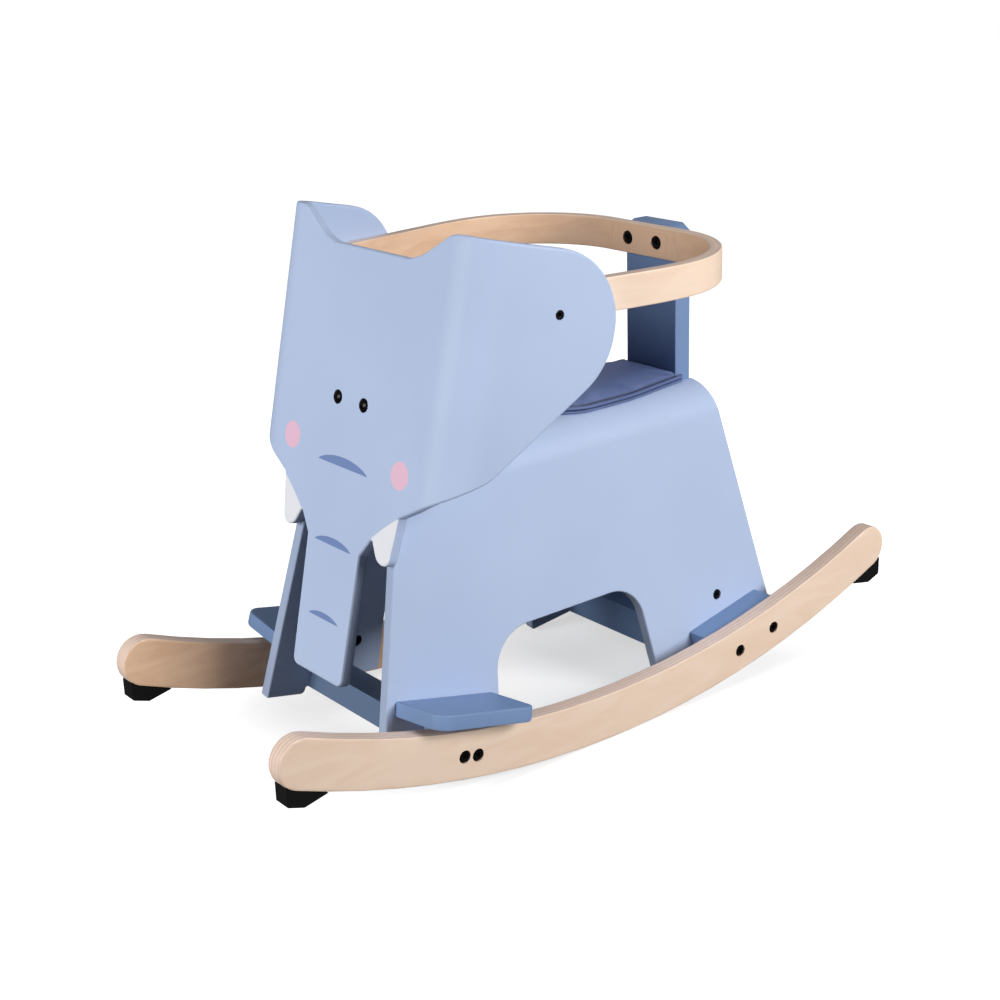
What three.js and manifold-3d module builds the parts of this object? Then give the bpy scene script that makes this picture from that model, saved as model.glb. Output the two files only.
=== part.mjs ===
import * as THREE from 'three';
import * as BufferGeometryUtils from 'three/addons/utils/BufferGeometryUtils.js';
import Module from 'manifold-3d';

const wasm = await Module();
wasm.setup();

// A child's rocking toy in the shape of an elephant, in millimetres, with +Z up.
// The face looks along -Y and +X is the animal's left. The origin is on the floor, midway
// between the two rockers and between their ends. The saddle and the head are each one bent
// plywood sheet, the rest is flat plywood, battens, rubber stops and black bolts.

// Sheets, gaps and facets
const board = 18;
const bentPly = 12;
const clearance = 0.3;
const overrun = 40;
const boardEdge = 2;
const edgeSteps = 2;
const chordError = 0.2;
const shortestEdge = 1;

// Angles
const lean = THREE.MathUtils.degToRad(12.76);
const splay = THREE.MathUtils.degToRad(8);
const quarterTurn = Math.PI / 2;

// The planes of the face and of the rear edges meet the floor this far from the middle
const leanFoot = 285;

// Rockers
const rockersAcross = 300;
const rockerRadius = 990;
const rockerDepth = 49.4;
const rockerReach = 374;
const restFlat = 30;

// Rubber stops under the rocker ends: a heel beyond the round end, a sole below it and a thin toe
const stopOverhang = 19;
const stopHeelLength = 17.3;
const stopLength = 46;
const stopDrop = 15.5;
const stopHeelLift = 6;
const stopTall = 33.6;

// Saddle
const seatTop = 309;
const saddleHalf = 70.4;
const saddleBend = 38;
const rearEdgeDepth = 10.5;
const legRise = 42;
const toeLength = 59;
const toeStep = 8;
const toeRound = 5;
const archRise = 126.3;
const archFrontTop = 115.5;
const archFrontFoot = 125;
const archRearTop = 68.6;
const archRearFoot = 91.4;
const archRound = 42;
const heelGap = 1;

// Head sheet, laid out flat: half widths across the outer surface and rises along the face
const faceHalf = 116;
const headBend = 47;
const headEdge = 2.5;
const trunkEnd = 98.4;
const trunkHalf = 42.3;
const trunkRound = 9;
const trunkRootHalf = 44;
const trunkRoot = 230;
const tuskRootHalf = 59;
const tuskRoot = 250.5;
const tuskTip = 230;
const tuskInnerHalf = 71;
const tuskInnerRound = 14;
const tuskOuterHalf = 88;
const tuskOuterRound = 9;
const jawHalf = 95.3;
const jaw = 278.7;
const cornerEase = 2;
const earRootHalf = 189;
const earRoot = 328.8;
const earRootRound = 60;
const earHalf = 297;
const earSlope = THREE.MathUtils.degToRad(45);
const earLowerRound = 75;
const earTop = 539.2;
const earUpperRound = 68;
const browHalf = 117.5;
const browRound = 28;
const browFootHalf = 78;
const browFootRise = 5.2;
const browFootRound = 70;
const foreheadHalf = 59.5;
const forehead = 509.7;

// Boards that stand up through the saddle
const uprightHalf = 37.5;
const postThick = 21.5;
const postTop = 474;
const postCut = 10.5;
const postCutDrop = 7;
const neckLap = 2;
const neckAboveEyes = 30;

// Guard hoop
const hoopThick = 12.5;
const hoopFoot = 440;
const hoopTall = 32.5;
const hoopCorner = 122;
const hoopSide = 320;
const hoopFront = 125;

// Cross pieces between the sides: depths and rises in the leaned frames, or places from the middle
const frontBarDepth = 61;
const frontBarLength = 40;
const frontBarFoot = 49.6;
const frontBarTall = 25.5;
const frontRailLength = 30;
const frontRailDrop = 18.5;
const frontRailTall = 35;
const rearBlockDepth = 25;
const rearBlockLength = 107;
const rearBlockTall = 42;
const rearRailLength = 43;
const rearRailFoot = 68.5;
const rearRailTall = 34;

// Spacers between the sides and the rockers
const spacerFoot = 45;
const spacerTop = 84;
const frontSpacerDepth = 55;
const frontSpacerLength = 60;
const rearSpacerDepth = 12.5;
const rearSpacerLength = 119.7;
const rearSpacerTop = 83.2;
const rearSpacerLift = 3.5;
const rearSpacerCut = 15.5;
const rearSpacerRound = 8;

// Footrests
const footrestThick = 15;
const footrestDepth = 22.4;
const footrestLength = 113;
const footrestRise = 104.9;
const footrestReach = 70;
const footrestFrontRound = 16;
const footrestRearRound = 12;

// Seat cushion
const cushionTall = 14.5;
const cushionBorder = 8.5;
const cushionTuck = 1.2;
const cushionRearGap = 0.5;
const cushionRearHalf = 40;
const cushionHalf = 54;
const cushionWidest = 107;
const cushionShoulder = 21;
const cushionNoseHalf = 17;
const cushionFront = 26;
const cushionRearRound = 8;
const cushionSideRound = 300;
const cushionShoulderRound = 90;
const cushionNoseRound = 34;

// Bolts
const boltHead = 6.4;
const railBoltHead = 5.4;
const earBoltHead = 4.3;
const hoopBoltHead = 6.9;
const boltHeadTall = 3.2;
const boltSunk = 0.8;
const boltShank = 3;
const boltBite = 20;
const boltEase = 0.5;
const eyeHead = 6.9;
const eyeDome = 2.8;
const frontBoltSpread = 16;
const rearBoltSpread = 52.4;
const footrestBoltSpread = 68;
const hoopBoltSpread = 42.6;
const eyeSpread = 42.2;
const eyeRise = 368.1;
const earBoltAcross = 234.1;
const earBoltRise = 481.1;
const railBoltRise = 84.2;
const pocketRun = 4;
const boltSides = 12;
const domeSteps = 4;

// Finishes
const wood = { color: 0xebd4be, roughness: 0.55, metalness: 0 };
const paleBlue = { color: 0xb3c3dc, roughness: 0.6, metalness: 0 };
const midBlue = { color: 0x7891b9, roughness: 0.6, metalness: 0 };
const slateBlue = { color: 0x647896, roughness: 0.6, metalness: 0 };
const leatherette = { color: 0x5a698c, roughness: 0.5, metalness: 0 };
const rubber = { color: 0x16161a, roughness: 0.8, metalness: 0 };
const blackMetal = { color: 0x0c0c0e, roughness: 0.25, metalness: 0.6 };

// Derived sizes
const frontEnd = -1;
const rearEnd = 1;
const headBack = bentPly + clearance;
const rockerOuter = rockersAcross / 2;
const rockerInner = rockerOuter - board;
const rockerCentre = Math.sqrt(rockerRadius ** 2 - (restFlat / 2) ** 2);
const innerTop = seatTop - bentPly;
const frontRailFoot = innerTop / Math.cos(lean) - frontRailDrop - frontRailTall;
const neckFoot = frontRailFoot + neckLap;
const neckTop = eyeRise + neckAboveEyes;
const earTurn = quarterTurn - splay;
const earStart = faceHalf + headBend * earTurn;

// A place in a leaned frame: a depth behind its plane and a rise along it, as [y, z]
function leaned(end, depth, rise) {
	return [
		end * (leanFoot - depth * Math.cos(lean) - rise * Math.sin(lean)),
		rise * Math.cos(lean) - depth * Math.sin(lean),
	];
}

// Height at which a line of one rise in a leaned frame passes a place along the toy
function leanedRise(end, y, rise) {
	return (rise - (leanFoot - end * y) * Math.sin(lean)) / Math.cos(lean);
}

// Half width over the saddle's sides at a height, and between them
function saddleOuter(z) {
	return saddleHalf + (seatTop - z) * Math.tan(splay);
}

function saddleInner(z) {
	return saddleOuter(z) - bentPly / Math.cos(splay);
}

// Height of the rockers' underside at a distance from the middle
function underside(y) {
	return rockerCentre - Math.sqrt(rockerRadius ** 2 - y ** 2);
}

// The upright at the rear stands in a notch that its own thickness and the leaned edge set
const rearEdgeRise = (seatTop + rearEdgeDepth * Math.sin(lean)) / Math.cos(lean);
const postRear = leaned(rearEnd, rearEdgeDepth, rearEdgeRise)[0] - 2 * clearance;
const postFront = postRear - postThick;

// Points on an arc, both ends included, with as many as keep the chord error
function arcPoints(x, y, radius, from, to) {
	const widest = 2 * Math.acos(1 - Math.min(chordError / radius, 1));
	const steps = Math.max(2, Math.ceil(Math.abs(to - from) / widest));
	const points = [];
	for (let step = 0; step <= steps; step += 1) {
		const angle = from + ((to - from) * step) / steps;
		points.push(new THREE.Vector2(x + radius * Math.cos(angle), y + radius * Math.sin(angle)));
	}
	return points;
}

// An outline from corners [x, y, radius], each rounded by its radius
function rounded(corners) {
	const places = corners.map(([x, y]) => new THREE.Vector2(x, y));
	return corners.flatMap(([, , radius], index) => {
		const here = places[index];
		if (!radius) {
			return [here];
		}
		const back = places.at(index - 1).clone().sub(here).normalize();
		const ahead = places[(index + 1) % places.length].clone().sub(here).normalize();
		const half = Math.acos(THREE.MathUtils.clamp(back.dot(ahead), -1, 1)) / 2;
		const toCentre = back.clone().add(ahead).setLength(radius / Math.sin(half));
		const centre = here.clone().add(toCentre);
		const start = here.clone().addScaledVector(back, radius / Math.tan(half)).sub(centre);
		const turn = (Math.PI - 2 * half) * -Math.sign(back.cross(ahead));
		return arcPoints(centre.x, centre.y, radius, start.angle(), start.angle() + turn);
	});
}

// A slab on the XY plane, with its edges rounded where an edge radius is given
function slab(points, thickness, edge = 0) {
	const geometry = new THREE.ExtrudeGeometry(new THREE.Shape(points), {
		depth: thickness - 2 * edge,
		bevelEnabled: edge > 0,
		bevelThickness: edge,
		bevelSize: edge,
		bevelOffset: -edge,
		bevelSegments: edgeSteps,
	});
	return geometry.translate(0, 0, edge);
}

const xAxis = new THREE.Vector3(1, 0, 0);
const yAxis = new THREE.Vector3(0, 1, 0);
const zAxis = new THREE.Vector3(0, 0, 1);
const slabAcross = new THREE.Matrix4().makeBasis(yAxis, zAxis, xAxis);
const slabAlong = new THREE.Matrix4().makeBasis(xAxis, zAxis, yAxis.clone().negate());

// A slab that runs across the toy from a (y, z) outline, and one that runs along it from (x, z)
function across(points, from, to, edge) {
	return slab(points, to - from, edge).applyMatrix4(slabAcross).translate(from, 0, 0);
}

function along(points, from, to, edge) {
	return slab(points, to - from, edge).applyMatrix4(slabAlong).translate(0, to, 0);
}

function box(xs, ys, zs) {
	const sides = [xs, ys, zs].map(([low, high]) => high - low);
	const middle = [xs, ys, zs].map(([low, high]) => (low + high) / 2);
	return new THREE.BoxGeometry(...sides).translate(...middle);
}

// A block across the toy whose section is a rectangle in a leaned frame
function leanedBlock(end, halfWidth, depth, length, foot, tall) {
	const corners = [
		[...leaned(end, depth, foot), 0],
		[...leaned(end, depth + length, foot), 0],
		[...leaned(end, depth + length, foot + tall), 0],
		[...leaned(end, depth, foot + tall), 0],
	];
	return across(rounded(corners), -halfWidth, halfWidth);
}

// Solids for cutting and joining
function solid(geometry) {
	const bare = geometry.clone();
	bare.deleteAttribute('normal');
	bare.deleteAttribute('uv');
	const merged = BufferGeometryUtils.mergeVertices(bare);
	return new wasm.Manifold(new wasm.Mesh({
		numProp: 3,
		vertProperties: new Float32Array(merged.attributes.position.array),
		triVerts: new Uint32Array(merged.index.array),
	}));
}

function surface(body) {
	const { vertProperties, triVerts } = body.getMesh();
	const geometry = new THREE.BufferGeometry();
	geometry.setAttribute('position', new THREE.BufferAttribute(vertProperties, 3));
	geometry.setIndex(new THREE.BufferAttribute(triVerts, 1));
	return geometry;
}

// The other hand of a piece: X turned over, and each triangle's order with it
function otherHand(geometry) {
	const mirrored = geometry.clone().scale(-1, 1, 1);
	const index = mirrored.index.array;
	for (let first = 0; first < index.length; first += 3) {
		[index[first], index[first + 1]] = [index[first + 1], index[first]];
	}
	return mirrored;
}

const elephant = new THREE.Group();

function addMesh(parent, name, geometry, finish) {
	const mesh = new THREE.Mesh(geometry, new THREE.MeshStandardMaterial(finish));
	mesh.geometry.computeVertexNormals();
	mesh.name = name;
	parent.add(mesh);
	return mesh;
}

// A frame whose XZ plane is the front of the face
const head = new THREE.Group();
head.position.y = -leanFoot;
head.rotation.x = -lean;
head.updateWorldMatrix(true, false);
elephant.add(head);

// The head sheet before it is bent: half of the outline, from the trunk's end round the ear and
// back to the middle of the forehead
function headHalfOutline() {
	const earLower = earRoot + (earHalf - earRootHalf) * Math.tan(earSlope);
	return rounded([
		[0, trunkEnd, 0],
		[trunkHalf, trunkEnd, trunkRound],
		[trunkRootHalf, trunkRoot, cornerEase],
		[tuskRootHalf, tuskRoot, cornerEase],
		[tuskInnerHalf, tuskTip, tuskInnerRound],
		[tuskOuterHalf, tuskTip, tuskOuterRound],
		[jawHalf, jaw, cornerEase],
		[earRootHalf, earRoot, earRootRound],
		[earHalf, earLower, earLowerRound],
		[earHalf, earTop, earUpperRound],
		[browHalf, earTop, browRound],
		[browFootHalf, forehead + browFootRise, browFootRound],
		[foreheadHalf, forehead, cornerEase],
		[0, forehead, 0],
	]);
}

// Puts a point wherever the outline crosses a station, so that the sheet can bend there
function withStations(points, stations) {
	return points.flatMap((here, index) => {
		const next = points[index + 1];
		if (!next) {
			return [here];
		}
		const low = Math.min(here.x, next.x) + shortestEdge;
		const high = Math.max(here.x, next.x) - shortestEdge;
		const between = stations.filter((station) => station > low && station < high);
		const inOrder = next.x > here.x ? between : between.toReversed();
		const added = inOrder.map((station) => here.clone()
			.lerp(next, (station - here.x) / (next.x - here.x)));
		return [here, ...added];
	});
}

// Moves each point of a closed outline inward
function inset(points, distance) {
	return points.map((here, index) => {
		const before = here.clone().sub(points.at(index - 1)).normalize();
		const after = points[(index + 1) % points.length].clone().sub(here).normalize();
		const inward = new THREE.Vector2(-before.y - after.y, before.x + after.x).normalize();
		const slope = inward.dot(new THREE.Vector2(-before.y, before.x));
		return here.clone().addScaledVector(inward, distance / slope);
	});
}

// A place on the bent sheet, in the head's frame, from how far across the outer surface it is,
// its rise along the face and its depth in the sheet
function headPoint(acrossSheet, rise, inward) {
	const reach = Math.abs(acrossSheet);
	const turn = THREE.MathUtils.clamp((reach - faceHalf) / headBend, 0, earTurn);
	const beyond = Math.max(0, reach - earStart);
	const radius = headBend - inward;
	const x = Math.min(reach, faceHalf) + radius * Math.sin(turn) + beyond * Math.cos(turn);
	const depth = headBend - radius * Math.cos(turn) + beyond * Math.sin(turn);
	return new THREE.Vector3(Math.sign(acrossSheet) * x, depth, rise);
}

// The bent sheet: rings of the outline from the outer surface, over the rounded edge, to the
// inner surface, with each surface stitched from its lower edge to its upper edge
function headSheet() {
	const bendSteps = arcPoints(0, 0, headBend, 0, earTurn).length - 1;
	const bendStations = Array.from(
		{ length: bendSteps + 1 },
		(_, step) => faceHalf + (headBend * earTurn * step) / bendSteps,
	);
	const half = withStations(headHalfOutline(), [trunkRootHalf, jawHalf, ...bendStations]);
	const otherHalf = half.slice(1, -1).reverse().map((point) => new THREE.Vector2(-point.x, point.y));
	const outline = [...half, ...otherHalf];
	const easeSteps = arcPoints(0, 0, headEdge, 0, quarterTurn).map((point) => [
		headEdge - point.y,
		headEdge - point.x,
	]);
	const levels = [
		...easeSteps.toReversed(),
		...easeSteps.map(([inward, depth]) => [inward, bentPly - depth]),
	];
	const positions = levels.flatMap(([inward, depth]) => inset(outline, inward)
		.flatMap((point) => headPoint(point.x, point.y, depth).toArray()));

	const count = outline.length;
	const tip = half.reduce((best, point, index) => (point.x > half[best].x ? index : best), 0);
	const lower = Array.from({ length: 2 * tip + 1 }, (_, step) => (count - tip + step) % count);
	const upper = Array.from({ length: count - lower.length }, (_, step) => count - tip - 1 - step);
	const faces = stitched(inset(outline, headEdge), lower, upper);
	const last = (levels.length - 1) * count;
	const triangles = [
		...faces,
		...faces.map(([a, b, c]) => [last + a, last + c, last + b]),
		...bands(levels.length, count),
	];
	return indexed(positions, triangles.flat());
}

// Triangles between two chains of points that both run across, always taking the nearer point
function stitched(points, lower, upper) {
	const triangles = [];
	let low = 0;
	let high = 0;
	while (low < lower.length - 1 || high < upper.length - 1) {
		const nextLow = points[lower[low + 1]]?.x ?? Infinity;
		const nextHigh = points[upper[high + 1]]?.x ?? Infinity;
		if (nextLow <= nextHigh) {
			triangles.push([lower[low], lower[low + 1], upper[high]]);
			low += 1;
		} else {
			triangles.push([lower[low], upper[high + 1], upper[high]]);
			high += 1;
		}
	}
	return triangles;
}

// Triangles between rings that lie one after another, each with the same count of points
function bands(rings, count) {
	const triangles = [];
	for (let ring = 0; ring < rings - 1; ring += 1) {
		for (let point = 0; point < count; point += 1) {
			const here = ring * count + point;
			const next = ring * count + ((point + 1) % count);
			triangles.push([here, here + count, next], [next, here + count, next + count]);
		}
	}
	return triangles;
}

function indexed(positions, index) {
	const geometry = new THREE.BufferGeometry();
	geometry.setAttribute('position', new THREE.Float32BufferAttribute(positions, 3));
	geometry.setIndex(index);
	return geometry;
}

// Bolts

// A bolt's profile from the end of its shank up to the middle of its head, along +Y
function boltProfile(length, head, dome) {
	const shank = [[0, -length], [boltShank, -length], [boltShank, 0]];
	if (!dome) {
		const rim = head - boltEase;
		return [...shank, [head, 0], [head, boltHeadTall - boltEase], [rim, boltHeadTall], [0, boltHeadTall]];
	}
	const capRadius = (head ** 2 + dome ** 2) / (2 * dome);
	const half = Math.asin(head / capRadius);
	const cap = Array.from({ length: domeSteps + 1 }, (_, step) => {
		const angle = half * (1 - step / domeSteps);
		return [capRadius * Math.sin(angle), capRadius * Math.cos(angle) - capRadius + dome];
	});
	return [...shank, ...cap];
}

// What a bolt needs bored: its shank, and a pocket over its head unless the head lies on the face
function boreProfile(length, head, dome) {
	const hole = boltShank + clearance;
	const pocket = head + clearance;
	const mouth = boltHeadTall + boltSunk + pocketRun;
	const shank = [[0, -length - clearance], [hole, -length - clearance]];
	if (dome) {
		return [...shank, [hole, dome], [0, dome]];
	}
	return [...shank, [hole, -clearance], [pocket, -clearance], [pocket, mouth], [0, mouth]];
}

function turned(profile) {
	return new THREE.LatheGeometry(profile.map(([x, y]) => new THREE.Vector2(x, y)), boltSides);
}

const bores = [];

// Adds a bolt whose head looks outward from a place on a surface
function addBolt(name, place, outward, length, head, dome) {
	const sunk = dome ? -clearance : boltHeadTall + boltSunk;
	const mesh = addMesh(elephant, name, turned(boltProfile(length, head, dome)), blackMetal);
	mesh.position.copy(place).addScaledVector(outward, -sunk);
	mesh.quaternion.setFromUnitVectors(yAxis, outward);
	mesh.updateWorldMatrix(true, false);
	bores.push(turned(boreProfile(length, head, dome)).applyMatrix4(mesh.matrixWorld));
}

// A pair of bolts, one on each side of the toy
function addBoltPair(name, place, outward, length, head = boltHead, dome = 0) {
	const flip = new THREE.Vector3(-1, 1, 1);
	const flipped = [place.clone().multiply(flip), outward.clone().multiply(flip)];
	addBolt(`${name}_left`, place, outward, length, head, dome);
	addBolt(`${name}_right`, ...flipped, length, head, dome);
}

// Footrest frame: out from the side, along its line on the side, and up
const footrestFront = leaned(frontEnd, footrestDepth, footrestRise);
const footrestBack = leaned(frontEnd, footrestDepth + footrestLength, footrestRise);
const footrestStart = new THREE.Vector3(saddleOuter(footrestFront[1]), ...footrestFront);
const footrestRun = new THREE.Vector3(saddleOuter(footrestBack[1]), ...footrestBack).sub(footrestStart);
const sideNormal = new THREE.Vector3(Math.cos(splay), 0, Math.sin(splay));
const footrestAlong = footrestRun.clone().normalize();
const footrestUp = sideNormal.clone().cross(footrestAlong);
const footrestFrame = new THREE.Matrix4()
	.makeBasis(sideNormal, footrestAlong, footrestUp)
	.setPosition(footrestStart);

// Bolts through rocker, spacer and side into the cross piece between the sides
const crossBolts = [
	['rocker_front_bolt', frontEnd, frontBarDepth + frontBarLength / 2, frontBoltSpread,
		frontBarFoot + frontBarTall / 2],
	['rocker_rear_bolt', rearEnd, rearBlockDepth + rearBlockLength / 2, rearBoltSpread,
		legRise + rearBlockTall / 2],
];
for (const [name, end, depth, spread, rise] of crossBolts) {
	[-1, 1].forEach((which, index) => {
		const place = new THREE.Vector3(rockerOuter, ...leaned(end, depth + (which * spread) / 2, rise));
		const seat = rockerOuter - boltHeadTall - boltSunk;
		addBoltPair(`${name}_${index + 1}`, place, xAxis, seat - saddleInner(place.z) + boltBite);
	});
}

// Bolts through the sides into the rail that the back post stands on
const railMiddle = postRear + clearance - rearRailLength / 2;
const railBoltPlace = new THREE.Vector3(saddleOuter(railBoltRise), railMiddle, railBoltRise);
addBoltPair('rail_bolt', railBoltPlace, sideNormal, bentPly + boltBite, railBoltHead);

// Bolts from inside through the sides into the footrests' edges
[-1, 1].forEach((which, index) => {
	const reach = (footrestRun.length() + which * footrestBoltSpread) / 2;
	const place = new THREE.Vector3(-bentPly, reach, -footrestThick / 2).applyMatrix4(footrestFrame);
	addBoltPair(`footrest_bolt_${index + 1}`, place, sideNormal.clone().negate(), bentPly + boltBite);
});

// Bolts through the ears into the hoop
const earNormal = new THREE.Vector3(Math.sin(earTurn), -Math.cos(earTurn), 0)
	.transformDirection(head.matrixWorld);
const earBoltPlace = headPoint(earBoltAcross, earBoltRise, 0).applyMatrix4(head.matrixWorld);
addBoltPair('ear_bolt', earBoltPlace, earNormal, bentPly + hoopThick / 2, earBoltHead);

// Bolts through the hoop into the back post
const hoopBack = postFront - clearance;
const hoopMiddle = hoopFoot + hoopTall / 2;
const hoopBoltPlace = new THREE.Vector3(hoopBoltSpread / 2, hoopBack - hoopThick, hoopMiddle);
addBoltPair('hoop_bolt', hoopBoltPlace, yAxis.clone().negate(), hoopThick + board / 2, hoopBoltHead);

// The eyes: domed bolts through the face into the neck board
const faceNormal = new THREE.Vector3(0, -1, 0).transformDirection(head.matrixWorld);
const eyePlace = new THREE.Vector3(eyeSpread / 2, 0, eyeRise).applyMatrix4(head.matrixWorld);
addBoltPair('eye_bolt', eyePlace, faceNormal, bentPly + board / 2, eyeHead, eyeDome);

// Drills a piece by every bolt that reaches it; the piece is in the frame of its parent
function drilled(piece, parent = elephant) {
	const toParent = parent.matrixWorld.clone().invert();
	return bores.reduce((rest, bore) => rest.subtract(solid(bore.clone().applyMatrix4(toParent))), piece);
}

function addPiece(name, piece, finish, parent = elephant) {
	addMesh(parent, name, surface(drilled(piece, parent)), finish);
}

// A piece for each side, made for the left
function addPair(name, piece, finish) {
	const left = surface(drilled(piece));
	addMesh(elephant, `${name}_left`, left, finish);
	addMesh(elephant, `${name}_right`, otherHand(left), finish);
}

// Rockers
function rockerOutline(grow) {
	const middle = rockerRadius - rockerDepth / 2;
	const tip = Math.asin(rockerReach / middle);
	const rest = Math.asin(restFlat / 2 / rockerRadius);
	const tipRise = rockerCentre - middle * Math.cos(tip);
	const under = rockerRadius + grow;
	const over = rockerRadius - rockerDepth - grow;
	const round = rockerDepth / 2 + grow;
	return [
		...arcPoints(0, rockerCentre, under, rest - quarterTurn, tip - quarterTurn).slice(0, -1),
		...arcPoints(rockerReach, tipRise, round, tip - quarterTurn, tip + quarterTurn),
		...arcPoints(0, rockerCentre, over, tip - quarterTurn, -tip - quarterTurn).slice(1, -1),
		...arcPoints(-rockerReach, tipRise, round, quarterTurn - tip, 3 * quarterTurn - tip),
		...arcPoints(0, rockerCentre, under, -tip - quarterTurn, -rest - quarterTurn).slice(1),
	];
}

const rocker = solid(across(rockerOutline(0), rockerInner, rockerOuter, boardEdge));
addPair('rocker', rocker, wood);

// Stops, cut to lie against the rocker's underside
const stopReach = rockerReach + stopOverhang;
const soleReach = stopReach - stopHeelLength;
const soleRise = underside(soleReach) - stopDrop;
const heelRise = soleRise + stopHeelLift;
const rockerRoom = solid(across(rockerOutline(clearance), rockerInner - overrun, rockerOuter + overrun));
for (const [where, end] of [['front', frontEnd], ['rear', rearEnd]]) {
	const outline = rounded([
		[end * (stopReach - stopLength), heelRise, 0],
		[end * soleReach, soleRise, boardEdge],
		[end * stopReach, heelRise, boardEdge],
		[end * stopReach, soleRise + stopTall, 0],
	]);
	addPair(`stop_${where}`, solid(across(outline, rockerInner, rockerOuter)).subtract(rockerRoom), rubber);
}

// Saddle: the bent section, trimmed to its outline from the side
function saddleSection(half, top, bend) {
	const foot = -overrun;
	return [
		[-half - (top - foot) * Math.tan(splay), foot, 0],
		[-half, top, bend],
		[half, top, bend],
		[half + (top - foot) * Math.tan(splay), foot, 0],
	];
}

const innerHalf = saddleInner(innerTop);
const outerSection = rounded(saddleSection(saddleHalf, seatTop, saddleBend));
const innerSection = rounded(saddleSection(innerHalf, innerTop, saddleBend - bentPly));
const sideOutline = rounded([
	[...leaned(frontEnd, headBack, legRise), 0],
	[...leaned(frontEnd, toeLength, legRise), toeRound],
	[...leaned(frontEnd, toeLength, legRise + toeStep), cornerEase],
	[-archFrontFoot, leanedRise(frontEnd, -archFrontFoot, legRise + toeStep), 0],
	[-archFrontTop, archRise, archRound],
	[archRearTop, archRise, archRound],
	[archRearFoot, underside(archRearFoot) + heelGap, toeRound],
	[...leaned(rearEnd, rearBlockDepth + rearBlockLength, legRise), 0],
	[...leaned(rearEnd, rearEdgeDepth, legRise), 0],
	[...leaned(rearEnd, rearEdgeDepth, seatTop + overrun), 0],
	[...leaned(frontEnd, headBack, seatTop + overrun), 0],
]);

const hollow = solid(along(innerSection, -leanFoot - overrun, leanFoot + overrun));
const trimmed = solid(along(outerSection, -leanFoot, leanFoot))
	.subtract(hollow)
	.intersect(solid(across(sideOutline, -rockerInner, rockerInner)));
const notchHalf = uprightHalf + clearance;
const neckBack = headBack + board;
const neckTall = neckTop - neckFoot;
const neckNotch = solid(leanedBlock(frontEnd, notchHalf, 0, neckBack + clearance, neckFoot, neckTall));
const postNotch = solid(box(
	[-notchHalf, notchHalf],
	[postFront - clearance, leanFoot],
	[innerTop - overrun, seatTop + overrun],
));
addPiece('saddle_shell', trimmed.subtract(neckNotch).subtract(postNotch), paleBlue);

// Head sheet
addPiece('head_sheet', solid(headSheet()), paleBlue, head);

// Neck board, behind the face and through the saddle's front notch
const neckBoard = leanedBlock(frontEnd, uprightHalf, headBack, board, neckFoot, neckTall);
addPiece('neck_board', solid(neckBoard), paleBlue);

// Back post, through the saddle's rear notch and down to the rear rail
const railTop = rearRailFoot + rearRailTall;
const postOutline = [
	[-uprightHalf, railTop + clearance, 0],
	[uprightHalf, railTop + clearance, 0],
	[uprightHalf, postTop - postCutDrop, 0],
	[uprightHalf - postCut, postTop, 0],
	[postCut - uprightHalf, postTop, 0],
	[-uprightHalf, postTop - postCutDrop, 0],
];
addPiece('back_post', solid(along(rounded(postOutline), postFront, postRear, boardEdge)), midBlue);

// Guard hoop: along the inside of the ears, round the corners and across the front of the post
function earInner(y, z) {
	const depth = (y + leanFoot) * Math.cos(lean) - z * Math.sin(lean);
	const radius = headBend - bentPly;
	const beyond = (depth - headBend + radius * Math.cos(earTurn)) / Math.sin(earTurn);
	return faceHalf + radius * Math.sin(earTurn) + beyond * Math.cos(earTurn);
}

function hoopOutline() {
	const top = hoopFoot + hoopTall;
	const slope = earInner(1, top) - earInner(0, top);
	const turn = Math.atan(slope);
	const line = (y) => earInner(y, top) - clearance / Math.cos(turn);
	const centre = hoopBack - hoopCorner;
	const half = line(centre) - hoopSide * (1 / Math.cos(turn) - 1);
	const endOuter = new THREE.Vector2(line(-hoopFront), -hoopFront);
	const endInner = new THREE.Vector2(-Math.cos(turn), Math.sin(turn))
		.multiplyScalar(hoopThick)
		.add(endOuter);
	const outer = [
		endOuter,
		...arcPoints(half - hoopSide, centre, hoopSide, -turn, 0).slice(0, -1),
		...arcPoints(half - hoopCorner, centre, hoopCorner, 0, quarterTurn),
	];
	const inner = [
		endInner,
		...arcPoints(half - hoopSide, centre, hoopSide - hoopThick, -turn, 0).slice(0, -1),
		...arcPoints(half - hoopCorner, centre, hoopCorner - hoopThick, 0, quarterTurn),
	];
	const flipped = (points) => points.map((point) => new THREE.Vector2(-point.x, point.y));
	return [...outer, ...flipped(outer).reverse(), ...flipped(inner), ...inner.toReversed()];
}

const hoop = slab(hoopOutline(), hoopTall, boardEdge).translate(0, 0, hoopFoot);
addPiece('guard_hoop', solid(hoop), wood);

// Cross pieces, cut to the splayed sides
const room = solid(along(
	rounded(saddleSection(innerHalf - clearance, innerTop, 0)),
	-leanFoot - overrun,
	leanFoot + overrun,
));
const crossPieces = [
	['front_bar', leanedBlock(
		frontEnd, rockerInner, frontBarDepth, frontBarLength, frontBarFoot, frontBarTall,
	), slateBlue],
	['front_rail', leanedBlock(
		frontEnd, rockerInner, neckBack + clearance, frontRailLength, frontRailFoot, frontRailTall,
	), midBlue],
	['rear_block', leanedBlock(
		rearEnd, rockerInner, rearBlockDepth, rearBlockLength, legRise, rearBlockTall,
	), midBlue],
	['rear_rail', box(
		[-rockerInner, rockerInner],
		[railMiddle - rearRailLength / 2, railMiddle + rearRailLength / 2],
		[rearRailFoot, railTop],
	), midBlue],
];
for (const [name, block, finish] of crossPieces) {
	addPiece(name, solid(block).intersect(room), finish);
}

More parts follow.
